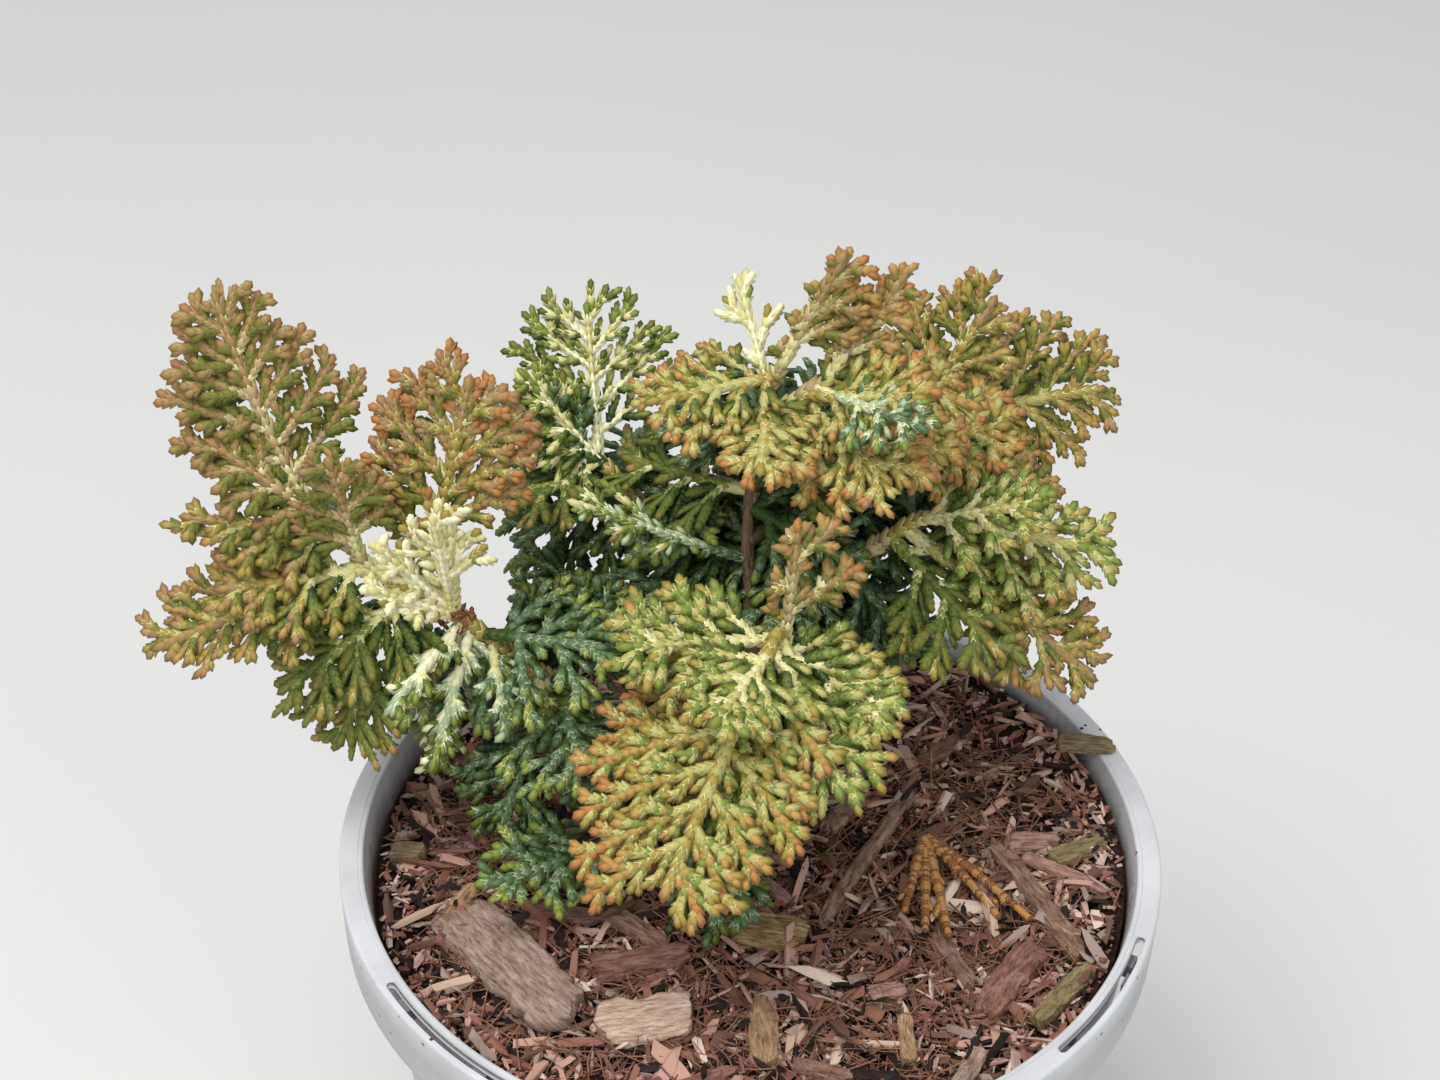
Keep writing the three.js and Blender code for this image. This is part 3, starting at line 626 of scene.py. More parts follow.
def limb_skin(points, radius, relief, columns, seed):
    """Rings square to a curve. Each ring's radius is a smooth one, plus flat plates of bark with furrows
    between them: noise stretched along the limb, cut off at the top so that the plates are flat."""
    along = unit(np.gradient(points, axis=0))
    side = unit(np.cross(along, (0.35, -0.9, 0.2)))
    up = np.cross(side, along)
    turn = round_angles(columns)
    run = np.concatenate([[0], np.cumsum(np.linalg.norm(np.diff(points, axis=0), axis=1))])
    around = np.stack([np.cos(turn), np.sin(turn)], -1)
    grid = np.concatenate([
        np.repeat(around[None] * PLATE_STRETCH[0], len(points), 0),
        np.repeat(run[:, None, None] * PLATE_STRETCH[1], columns, 1)], -1)
    plates = np.minimum(noise(grid, 0.9, seed) + 0.5 * noise(grid, 0.4, seed + 1), PLATE_TOP)
    rings = np.repeat(run[:, None, None] * (0, 0, 1), columns, 1) * RING_STRETCH[1]
    rings = rings + around[None] @ np.eye(2, 3) * RING_STRETCH[0]
    plates += RING_DEPTH * np.minimum(noise(rings, 1.0, seed + 2), RING_TOP)
    smooth = radius(run / run[-1], turn)
    thick = smooth + relief * plates * np.minimum(1, smooth / FULL_RELIEF)
    return points[:, None] + thick[..., None] * (
        around[:, 0, None] * side[:, None] + around[:, 1, None] * up[:, None])


def trunk_radius(t, angle):
    """Taper as a power of the height, and a lobed swelling at the foot that dies away up the trunk."""
    t, angle = t[:, None], angle[None]
    taper = TRUNK_RADII[1] + (TRUNK_RADII[0] - TRUNK_RADII[1]) * (1 - t) ** TRUNK_TAPER
    return taper + FLARE * np.exp(-t * FLARE_FALL) * (1 + FLARE_DEPTH * np.cos(FLARE_LOBES * angle))


def wood_finish(colour):
    """Thin scaly bark: grey-brown plates over redder furrows, with a rough bump along the limb."""
    finish = Finish("scaly_bark", Specular_IOR_Level=0.25)
    at = finish.place()
    coarse = finish.noise(at, 420, 4)
    flakes = finish.noise(finish.place((1, 1, 0.35)), 1500, 3)
    red = (colour[0] * 0.95, colour[1] * 0.8, colour[2] * 0.7)
    base = finish.blend(coarse.ramp(0.35, 0.65), red, colour)
    finish.colour(finish.blend(flakes.ramp(0.35, 0.55), darker(colour, 0.45), base))
    finish.rough(0.75 + coarse * 0.2)
    finish.bump(flakes + coarse, 0.0003, 0.8)
    return finish.material


# Sprays: how they branch, in shares of the axis or the shoot, and angles in radians

LAST_SHOOT = 0.88
PLACE_CHANCE = 0.35
ANGLE_CHANCE = 0.2
CLOSING = 0.42
OUTLINE = (0.35, 0.57, 0.8)
REACH_RANGE = (0.88, 0.24)
BEND = 0.55
CURL = 0.12
BARE_STALK = 2

# The seeds of the solids' sprays start here and go up by sevens; those of the scene's own sprays are others
FIRST_SEED = 11
FILLING_SEED = 300
UNDERGROWTH_SEED = 500
UNDERGROWTH_PLACES = 41
LEAF_SEED = 77
DEAD_LEAF_SEED = 5
SPRIG_SEED = 3
TUFT_SEED = 12

# Ways that a spray's face looks
FRONT = (0, -0.9, 0.4)
AHEAD = (0, -0.6, 0.8)
HIGH = (0, -0.5, 0.85)
# What a spray has where its own row doesn't say: its face, the width of its fingers and their spacing, the
# place of the first shoot, the angle that the shoots open to, their reach to both sides as a share of the
# axis, their fall to the tip, their number, the axis's bends, the droop, the solid's finger pitch, and the
# longest finger
SPRAY = dict(
    face=AHEAD, slender=1, space=1, first=0.08, open=1.1, wide=(0.5, 0.5), taper=0.35, shoots=8, bow=0,
    sway=0, droop=0, pitch=4.6, finger=7.5)

# Each spray: its limb and the place on it, its tip, the way its face looks, its spread, and its run of
# colours
SPRAYS = {
    "left_upper": dict(on=("left_upper", 1), tip=(-77.5, 13, 88), face=(0.1, -0.95, 0.3), wide=(0.54, 0.54),
                       shoots=12, sway=0.05, taper=0.62, tones="bronze"),
    "left_mid": dict(on=("left_upper", 0.78), tip=(-84.5, 5, 55), face=(0, -0.85, 0.5), wide=(0.42, 0.46),
                     open=0.95, shoots=7, tones="gold"),
    "left_centre": dict(on=("left_upper", 0.2), tip=(-42, 11, 75.5), face=(0.1, -0.95, 0.3), first=0.28,
                        wide=(0.42, 0.4), shoots=9, taper=0.2, tones="ember"),
    "left_low": dict(on=("left_upper", 0.56), tip=(-90.5, 1, 33.5), wide=(0.33, 0.4), open=0.95, shoots=10,
                     droop=0.1, tones="gold"),
    "left_hang": dict(on=("left_upper", 0.36), tip=(-63.5, -3, 18.5), face=(-0.2, -0.9, 0.4),
                      wide=(0.5, 0.45), open=0.95, droop=0.1, tones="green"),
    "left_drop": dict(on=("left", 0.94), tip=(-49.5, 0, 11), face=(0.1, -0.9, 0.4), wide=(0.3, 0.38),
                      open=0.7, shoots=6, droop=0.1, tones="frosted"),
    "left_pale": dict(on=("left", 0.99), tip=(-47, 0, 59), face=FRONT, open=0.9, shoots=4, finger=4.5,
                      slender=0.92, space=1.9, tones="pale"),
    "back_left_up": dict(on=("back_left", 1), tip=(-27, 40, 72), face=FRONT, wide=(0.62, 0.66), shoots=10,
                         slender=0.82, tones="ribbed"),
    "back_left_low": dict(on=("back_left", 0.86), tip=(-38.5, 30, 33), wide=(0.65, 0.62), shoots=7,
                          droop=0.2, tones="deep"),
    "crown_left": dict(on=("trunk", 0.97), tip=(-16.5, 14, 70.5), face=HIGH, wide=(0.55, 0.5), shoots=10,
                       slender=0.9, droop=0.3, tones="crown"),
    "crown_fingers": dict(on=("trunk", 0.93), tip=(-3.5, 27, 84), face=FRONT, wide=(0.4, 0.42), open=0.65,
                          shoots=4, finger=4, slender=0.85, tones="pale"),
    "crown_spike": dict(on=("trunk", 1), tip=(11.5, 21, 91.5), face=(0.2, -0.9, 0.2), wide=(0.15, 0.7),
                        open=0.9, shoots=7, finger=5, taper=0.6, tones="spike"),
    "crown_front": dict(on=("crown", 0.45), tip=(18.5, 4, 64), wide=(0.6, 0.55), shoots=10, slender=0.9,
                        droop=0.25, taper=0.1, tones="crown"),
    "crown_right": dict(on=("crown", 1), tip=(32.5, 20, 67), face=HIGH, wide=(0.42, 0.45), shoots=7,
                        droop=0.3, tones="crown"),
    "right_back": dict(on=("right_back", 1), tip=(56, 44, 56), face=(0.1, -0.85, 0.5), wide=(0.56, 0.45),
                       shoots=10, droop=0.1, taper=0.2, tones="gold"),
    "right_back_up": dict(on=("right_back", 0.86), tip=(36.5, 42, 73), face=FRONT, first=0.15,
                          wide=(0.55, 0.45), open=1, shoots=7, tones="gold"),
    "right_mid": dict(on=("right", 1), tip=(54.5, 16, 43.5), wide=(0.42, 0.5), open=1.05, shoots=10,
                      droop=0.3, tones="bright"),
    "right_low": dict(on=("right", 0.88), tip=(53, 8, 25), face=(0.3, -0.8, 0.5), first=0.32,
                      wide=(0.32, 0.3), open=1, bow=0.08, droop=0.1, tones="gold"),
    "inner_right": dict(on=("right", 0.55), tip=(26, 14, 24.5), face=(0.2, -0.7, 0.7), wide=(0.55, 0.5),
                        shoots=7, droop=0.2, tones="deep"),
    "inner_back": dict(on=("back_left", 0.4), tip=(-36, 20, 29), wide=(0.6, 0.6), droop=0.1, tones="deep"),
    "inner_crown": dict(on=("trunk", 0.67), tip=(14.5, 14, 42), face=(0.1, -0.7, 0.7), wide=(0.55, 0.6),
                        shoots=7, droop=0.2, tones="deep"),
    "inner_left_down": dict(on=("left", 0.66), tip=(-39, -8, 5.5), face=(0.1, -0.8, 0.6), open=1.05,
                            shoots=9, droop=0.1, tones="deep"),
    "inner_left_up": dict(on=("left", 0.76), tip=(-22, 10, 36.5), face=(-0.1, -0.7, 0.7), wide=(0.65, 0.65),
                          shoots=7, droop=0.1, tones="deep"),
    "front_left": dict(on=("front", 0.93), tip=(-19.5, -14, 47), wide=(0.55, 0.5), shoots=9, droop=0.1,
                       tones="bright"),
    "front_right": dict(on=("front", 0.86), tip=(19, -18, 38), face=(0.1, -0.6, 0.8), wide=(0.52, 0.6),
                        droop=0.2, tones="bright"),
    "front_low": dict(on=("front", 1), tip=(-12.5, -40, 24), face=(0, -0.7, 0.7), first=0.2,
                      wide=(0.45, 0.6), open=1.2, shoots=11, droop=0.1, bow=0.1, taper=0.3, tones="amber"),
    "front_sprig": dict(on=("front", 0.84), tip=(5.5, -2, 61), face=(0.3, -0.95, 0.3), wide=(0.2, 0.6),
                        shoots=5, finger=4, droop=0.4, tones="spike"),
    "low_tuft": dict(on=("low", 1), tip=(-39, -19, 5), face=HIGH, wide=(0.45, 0.48), open=1, shoots=6,
                     tones="blue"),
    "rear_left": dict(on=("rear", 0.72), tip=(-33, 56, 36), face=(-0.2, 0.6, 0.7), droop=0.3,
                      tones="green"),
    "rear_right": dict(on=("rear", 0.84), tip=(36, 58, 38), face=(0.2, 0.6, 0.7), droop=0.3, tones="gold"),
    "rear_mid": dict(on=("rear", 1), tip=(2, 63, 36), face=(0, 0.3, 0.9), droop=0.3, tones="bright"),
}

# The colours of the scale leaves, each with the name of a slot in the record
LEAF_COLOURS = {
    "cream": ((242, 238, 196), "leaf_yellow_green"),
    "straw": ((212, 206, 142), "leaf_yellow_green"),
    "yellow": ((176, 170, 100), "leaf_yellow_green"),
    "lime": ((124, 138, 60), "leaf_yellow_green"),
    "gold": ((158, 139, 66), "leaf_gold"),
    "tan": ((178, 154, 112), "leaf_gold"),
    "amber": ((178, 140, 76), "leaf_gold"),
    "orange": ((174, 120, 66), "leaf_bronze"),
    "copper": ((160, 118, 78), "leaf_bronze"),
    "bronze": ((156, 127, 76), "leaf_bronze"),
    "olive": ((114, 112, 46), "leaf_yellow_green"),
    "leaf": ((88, 101, 38), "leaf_green"),
    "green": ((52, 76, 26), "leaf_green"),
    "deep": ((40, 62, 26), "leaf_dark_green"),
    "blue": ((88, 112, 74), "leaf_dark_green"),
    # frost: a whitish green that is a painted sheen, the glint of wet, waxy scales
    "frost": ((168, 184, 146), "leaf_green"),
    "dry": ((188, 130, 70), "dead_sprig"),
    "rust": ((124, 78, 52), "dead_sprig"),
}

LEAF_NAMES = list(LEAF_COLOURS)

# Runs of colours from a spray's foot to its outline, for the fingers and for the ribs that carry them. The
# darker greens at the foot are partly the inner leaves' own green and partly painted shade
TONES = {
    "bronze": ("green", "leaf", "olive", "olive", "olive", "bronze", "bronze", "copper"),
    "bronze_rib": ("straw", "tan", "bronze", "bronze", "copper"),
    "gold": ("deep", "green", "leaf", "olive", "olive", "gold", "bronze", "copper"),
    "gold_rib": ("straw", "yellow", "gold", "bronze", "amber"),
    "crown": ("deep", "green", "leaf", "olive", "gold", "yellow", "amber", "orange", "copper"),
    "crown_rib": ("gold", "yellow", "gold", "amber"),
    "bright": ("deep", "green", "leaf", "leaf", "lime", "yellow", "lime", "gold", "amber"),
    "bright_rib": ("straw", "straw", "yellow", "lime", "gold"),
    "amber": ("green", "leaf", "olive", "gold", "lime", "yellow", "gold", "amber", "orange"),
    "amber_rib": ("gold", "yellow", "gold", "amber", "orange"),
    "spike": ("straw", "gold", "olive", "bronze", "amber", "orange"),
    "spike_rib": ("straw", "tan", "bronze", "orange"),
    "ribbed": ("deep", "green", "leaf", "lime", "straw", "lime", "leaf", "lime"),
    "ribbed_rib": ("cream", "cream", "straw", "lime", "olive"),
    "pale": ("leaf", "lime", "straw", "cream", "straw", "cream", "lime"),
    "pale_rib": ("straw", "cream", "straw", "gold"),
    "green": ("deep", "green", "leaf", "leaf", "olive", "olive", "bronze"),
    "green_rib": ("straw", "lime", "leaf", "olive", "gold"),
    # The frosted and silver runs hold the frost colour, a painted sheen
    "frosted": ("cream", "straw", "frost", "leaf", "lime", "cream", "lime"),
    "frosted_rib": ("cream", "cream", "frost", "lime"),
    # Deep runs: partly the dark green of inner leaves and partly painted shade, for sprays inside the plant
    "deep": ("deep", "deep", "green", "deep", "green", "blue", "leaf", "olive"),
    "deep_rib": ("green", "blue", "blue", "leaf"),
    "blue": ("deep", "blue", "green", "blue", "lime", "lime"),
    "blue_rib": ("green", "blue", "blue", "lime"),
    "dead": ("dry", "rust", "dry", "rust", "dry", "rust", "dry"),
    "dead_rib": ("dry", "dry", "rust"),
    "tuft": ("rust", "rust", "rust", "tan"),
    "tuft_rib": ("rust", "tan"),
    "ember": ("green", "olive", "olive", "gold", "bronze", "orange", "copper"),
    "ember_rib": ("straw", "gold", "bronze", "copper"),
    "inner": ("deep", "blue", "leaf", "frost", "leaf", "lime"),
    "inner_rib": ("blue", "frost", "lime", "straw", "lime"),
    "silver": ("green", "blue", "leaf", "frost", "blue", "leaf", "lime"),
    "silver_rib": ("straw", "frost", "blue", "lime"),
    "stem": ("tan", "straw", "tan", "gold", "tan"),
    "stem_rib": ("rust", "tan", "tan"),
}


def along(a, c, b, t):
    """A quadratic curve from a to b, bent by c."""
    return a * (1 - t) ** 2 + 2 * c * t * (1 - t) + b * t * t


def heading(a, c, b, t):
    """The direction of that curve: its derivative, made one long."""
    return unit((c - a) * (1 - t) + (b - c) * t)


def grow_shoot(spray, axis, i, random):
    """Shoots leave the axis to both sides by turns, and the longest stand a third of the way along."""
    a, c, b, face, length = axis
    share = (i + PLACE_CHANCE * (random() - 0.5)) / (spray["shoots"] - 1)
    t = spray["first"] + (LAST_SHOOT - spray["first"]) * share
    v = max(0, (t - spray["first"]) / (1 - spray["first"]))
    side = by_turns(i)
    p, u = along(a, c, b, t), heading(a, c, b, t)
    s = unit(np.cross(face, u))
    opened = spray["open"] * (1 - CLOSING * v) + ANGLE_CHANCE * (random() - 0.5)
    wide = spray["wide"][0 if side > 0 else 1] * length
    outline = np.sin(np.pi * (OUTLINE[0] + OUTLINE[1] * v)) ** OUTLINE[2]
    reach = wide * outline * (1 - spray["taper"] * v) * (REACH_RANGE[0] + REACH_RANGE[1] * random())
    d = u * np.cos(opened) + s * side * np.sin(opened)
    mid = p + d * BEND * reach
    q = p + d * reach + u * CURL * reach + DOWN * spray["droop"] * reach * reach / length
    return dict(p=p, mid=mid, q=q, face=np.cross(u, s), reach=reach, place=t)


def coarse_fingers(spray, shoot, random):
    """Draws the same numbers as the solid's fingers do, so that the next shoot's numbers are the same too."""
    count = max(1, int(np.floor((shoot["reach"] - BARE_STALK) / spray["pitch"] + 0.5)))
    for _ in range(3 * count):
        random()


def spray_axis(spray):
    """The curve from the limb to the tip. Its middle is pushed out of the face and across it by shares of the
    length, and the face is square to it."""
    a = cubic(LIMBS[spray["on"][0]], spray["on"][1])
    b = np.array(spray["tip"], float)
    way = b - a
    length = np.linalg.norm(way)
    across = unit(np.cross(spray["face"], way))
    face = unit(np.cross(way, across))
    c = (a + b) / 2 + face * spray["bow"] * length + across * spray["sway"] * length
    return a, c, b, face, length


class Strips:
    """Rows of curves that scale leaves are laid along: ends, bend, face, half width, half thickness, tones,
    colour run, the length of a scale, and the kind."""

    def __init__(self):
        self.rows = []

    def add(self, a, c, b, face, width, thick, tone, run, scale, kind):
        self.rows.append((*a, *c, *b, *face, *width, thick, *tone, run, scale, kind))

    def array(self):
        return np.array(self.rows)


RUNS = list(TONES)
AXIS, SHOOT, FINGER, LOBE = range(4)
# The column of a strip's kind, and the radius at the foot of the twig in an axis, a shoot and a finger
KIND = 19
TWIG_RADII = (0.6, 0.4, 0.3)
FINGER_THICKNESS = 0.4
FINGER_NARROWING = 0.92
# The runs of colours whose short fingers have lobes too, and the least length of a finger with lobes
LOBED = ("bronze", "gold", "amber", "spike", "ember", "crown")
LOBED_FROM = 2.8
PLAIN_LOBED_FROM = 6.0
TWO_LOBES_FROM = 4.6
# How much longer the scales of the lobes, ribs and axes are than those of the fingers
LOBE_SCALE = 1.2
RIB_SCALE = 1.15
AXIS_SCALE = 1.5
# Fingers, as shares of the shoot or the finger: the bare foot in millimetres, the first place and the span
# of all places, the lean in radians, the fall of their size along the shoot, and the turn of their faces. A
# spread is how far chance moves a thing in all
BARE_FOOT = 1.2
FIRST_FINGER = 0.12
FINGER_SPAN = 0.82
FINGER_LEAN = 0.63
FINGER_FALL = (1.1, 0.6, 1.6)
FINGER_RANGE = (0.82, 0.28)
FINGER_LIFT = 0.06
FINGER_CURL = 0.14
FINGER_BULGE = 0.08
FINGER_TILT = 0.2
FINGER_TONES = (0.44, 0.2)
PLACE_SPREAD = 0.4
LEAN_SPREAD = 0.16
LIFT_SPREAD = 0.2
TONE_SPREAD = 0.16
TILT_SPREADS = (0.3, 0.2)
LOBE_PLACES = (0.46, 0.4)
LOBE_SHARE = 0.36
LONGEST_LOBE = 2.4
LOBE_ANGLE = 0.52
LOBE_WIDTHS = (0.88, 0.82)
LOBE_SPREAD = 0.5
LOBE_FALL = (1.1, 0.4)
LOBE_RANGE = (0.85, 0.3)
LOBE_FOOT = 0.5
LOBE_LIFT = 0.3
LOBE_BULGE = 0.12
LOBE_TONES = 0.22


def even_chance(rng, spread):
    """A number by chance, up to half the spread to either side of nothing."""
    return spread * (rng.random() - 0.5)


def grow_fingers(strips, rng, shoot, spray, width, pitch, tones, lobed=True):
    """Fingers leave a shoot by turns to both sides, longest at its lower third, and blunt lobes leave the
    fingers. Each leans towards the shoot's end, and stands a little out of the shoot's face."""
    p, mid, q, face = shoot["p"], shoot["mid"], shoot["q"], shoot["face"]
    reach, run = shoot["reach"], RUNS.index(spray["tones"])
    lobed_from = LOBED_FROM if spray["tones"] in LOBED else PLAIN_LOBED_FROM
    count = max(2, int(round((reach - BARE_FOOT) / pitch)))
    for j in range(count):
        v = FIRST_FINGER + FINGER_SPAN * (j + PLACE_SPREAD * rng.random()) / count
        root, w = along(p, mid, q, v), heading(p, mid, q, v)
        s = unit(np.cross(face, w)) * by_turns(j)
        lean = FINGER_LEAN + even_chance(rng, LEAN_SPREAD)
        fall = FINGER_FALL[0] - FINGER_FALL[1] * v ** FINGER_FALL[2]
        size = shoot["finger"] * fall * (FINGER_RANGE[0] + FINGER_RANGE[1] * rng.random())
        lift = face * size * (FINGER_LIFT + even_chance(rng, LIFT_SPREAD))
        drop = DOWN * spray["droop"] * size * 0.5
        d = w * np.cos(lean) + s * np.sin(lean)
        end = root + d * size + w * FINGER_CURL * size + lift * 0.5 + drop
        bend = root + d * size * 0.5 + s * FINGER_BULGE * size + lift * 0.6
        low = tones[0] + (tones[1] - tones[0]) * v
        high = min(1.0, low + FINGER_TONES[0] + FINGER_TONES[1] * v + even_chance(rng, TONE_SPREAD))
        aside = s * (FINGER_TILT + even_chance(rng, TILT_SPREADS[0]))
        tilt = unit(face + aside + w * TILT_SPREADS[1] * (rng.random() - 0.5))
        widths = (width, width * FINGER_NARROWING)
        strips.add(root, bend, end, tilt, widths, FINGER_THICKNESS, (low, high), run, 1, FINGER)
        if not lobed or size < lobed_from:
            continue
        lobes = 1 if size < TWO_LOBES_FROM else 2
        for k in range(lobes):
            t = LOBE_PLACES[0] + LOBE_PLACES[1] * (k + LOBE_SPREAD * rng.random()) / lobes
            g, h = along(root, bend, end, t), heading(root, bend, end, t)
            r = unit(np.cross(tilt, h)) * by_turns(k + j)
            short = min(LONGEST_LOBE, LOBE_SHARE * size) * (LOBE_FALL[0] - LOBE_FALL[1] * t)
            short *= LOBE_RANGE[0] + LOBE_RANGE[1] * rng.random()
            out = h * np.cos(LOBE_ANGLE) + r * np.sin(LOBE_ANGLE)
            tip = g + out * (short + LOBE_FOOT) + tilt * LOBE_LIFT * (rng.random() - 0.3)
            tone = low + (high - low) * t
            widths = [width * share for share in LOBE_WIDTHS]
            strips.add(g, (g + tip) / 2 + r * LOBE_BULGE, tip, tilt, widths, FINGER_THICKNESS,
                       (tone, min(1.0, tone + LOBE_TONES)), run, LOBE_SCALE, LOBE)


HELD_WITHIN = 0.4


def held(shoot, solid):
    """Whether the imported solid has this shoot's blade: its end lies on the solid's surface."""
    return np.sqrt(((solid - shoot["q"]) ** 2).sum(1).min()) < HELD_WITHIN


def solid_points(node):
    """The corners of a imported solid, in millimetres from the rim's middle."""
    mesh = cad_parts[node].data
    points = np.empty(len(mesh.vertices) * 3, np.float32)
    mesh.vertices.foreach_get("co", points)
    return points.reshape(-1, 3) * 1000.0 - (0, 0, RIM_HEIGHT)


def turned_about(vector, axis, angle):
    """The vector turned about an axis that it is square to."""
    return unit(vector * np.cos(angle) + np.cross(axis, vector) * np.sin(angle))


def add_rib(strips, shoot, spray, width, tones):
    """The scales along the shoot's own curve."""
    rib = RUNS.index(spray["tones"] + "_rib")
    strips.add(shoot["p"], shoot["mid"], shoot["q"], shoot["face"], (width, width), FINGER_THICKNESS * 1.15,
               tones, rib, RIB_SCALE, SHOOT)


# Shoots: half widths and half thickness of the axis, its tones, how far each shoot is turned about its
# length, where its run of colours starts, and the longest finger in the room between two shoots and on a
# shoot of its reach. Then the shade shoot's length, its tones, low in the run as painted shade, how far it
# stands back, and its fingers' spacing
AXIS_WIDTHS = (1.1, 0.9)
AXIS_THICKNESS = 0.62
AXIS_TONES = (0.1, 0.75)
SHOOT_ROLL = 0.34
ROLL_SPREAD = 0.3
SHOOT_TONES = (0.04, 0.3)
TONE_SPAN = 0.36
FINGER_ROOM = (0.74, 0.6)
FINGER_REACH = (0.6, 0.8)
SHADE_FROM = 9
SHADE_LENGTH = 0.74
SHADE_BACK = (0.16, 0.12)
SHADE_SPACE = 1.35
SHADE_BOW = 0.2
SHADE_TONES = (0.0, 0.35)
SHADE_RIB_TONES = (0.0, 0.7)
# The axis's own fingers: the foot and the middle of the part of it that carries them, its share of the
# axis, their longest, their spacing and their tones
AHEAD_PLACES = (0.1, 0.55)
AHEAD_REACH = 0.9
AHEAD_ROOM = (0.16, 0.8)
AHEAD_SPACE = 1.7
AHEAD_TONES = (0.1, 0.6)


def grow_spray(strips, spray, seed, width, pitch, solid=None):
    """The axis, its shoots, and finer fingers on both, by the rule of the solids. Each shoot is turned a
    little about its own length, so that the fan isn't flat, and a shorter shoot, darker with painted shade,
    stands behind every other one."""
    random = seeded(seed)
    rng = np.random.default_rng(seed)
    axis = spray_axis(spray)
    a, c, b, face, length = axis
    width, pitch = width * spray["slender"], pitch * spray["space"]
    shoots = [grow_shoot(spray, axis, i, random) for i in range(spray["shoots"])]
    for shoot in shoots:
        coarse_fingers(spray, shoot, random)
    apart = 2 * (LAST_SHOOT - spray["first"]) * length / (spray["shoots"] - 1)
    finger = min(spray["finger"], FINGER_ROOM[0] * apart + FINGER_ROOM[1])
    widths, rib = [half * spray["slender"] for half in AXIS_WIDTHS], RUNS.index(spray["tones"] + "_rib")
    strips.add(a, c, b, face, widths, AXIS_THICKNESS, AXIS_TONES, rib, AXIS_SCALE, AXIS)
    for i, shoot in enumerate(shoots):
        if solid is not None and not held(shoot, solid):
            continue
        start = SHOOT_TONES[0] + SHOOT_TONES[1] * shoot["place"]
        tones = (start, start + TONE_SPAN)
        way = unit(shoot["q"] - shoot["p"])
        roll = SHOOT_ROLL * by_turns(i) + even_chance(rng, ROLL_SPREAD)
        shoot["face"] = turned_about(unit(shoot["face"]), way, roll)
        shoot["finger"] = min(finger, FINGER_REACH[0] * shoot["reach"] + FINGER_REACH[1])
        add_rib(strips, shoot, spray, width, (start, 1.0))
        grow_fingers(strips, rng, shoot, spray, width, pitch, tones)
        if i % 2 == 0 and shoot["reach"] > SHADE_FROM:
            back = shoot["face"] * (-SHADE_BACK[0] - SHADE_BACK[1] * rng.random()) * shoot["reach"]
            shade = dict(shoot, q=shoot["p"] + (shoot["q"] - shoot["p"]) * SHADE_LENGTH + back)
            shade["mid"] = (shoot["p"] + shade["q"]) / 2 + back * SHADE_BOW
            shade["reach"] = shoot["reach"] * SHADE_LENGTH
            # Painted shade: the shoot behind takes its spray's darker shade run, low in its tones
            behind = {**spray, "tones": SHADE[spray["tones"]]}
            add_rib(strips, shade, behind, width, SHADE_RIB_TONES)
            grow_fingers(strips, rng, shade, behind, width, pitch * SHADE_SPACE, SHADE_TONES, lobed=False)
    foot, middle = (along(a, c, b, place) for place in AHEAD_PLACES)
    ahead = dict(p=foot, mid=middle, q=b, face=face, reach=length * AHEAD_REACH)
    ahead["finger"] = min(finger, AHEAD_ROOM[0] * length + AHEAD_ROOM[1])
    grow_fingers(strips, rng, ahead, spray, width, pitch * AHEAD_SPACE, AHEAD_TONES)


# Which run the shoots behind a spray take: a darker one, as painted shade
SHADE = {
    "bronze": "green", "gold": "green", "crown": "green", "bright": "green", "ember": "green",
    "pale": "green", "frosted": "green", "silver": "green", "amber": "bright", "spike": "gold",
    "green": "deep", "blue": "deep", "deep": "deep", "inner": "deep", "ribbed": "deep",
}

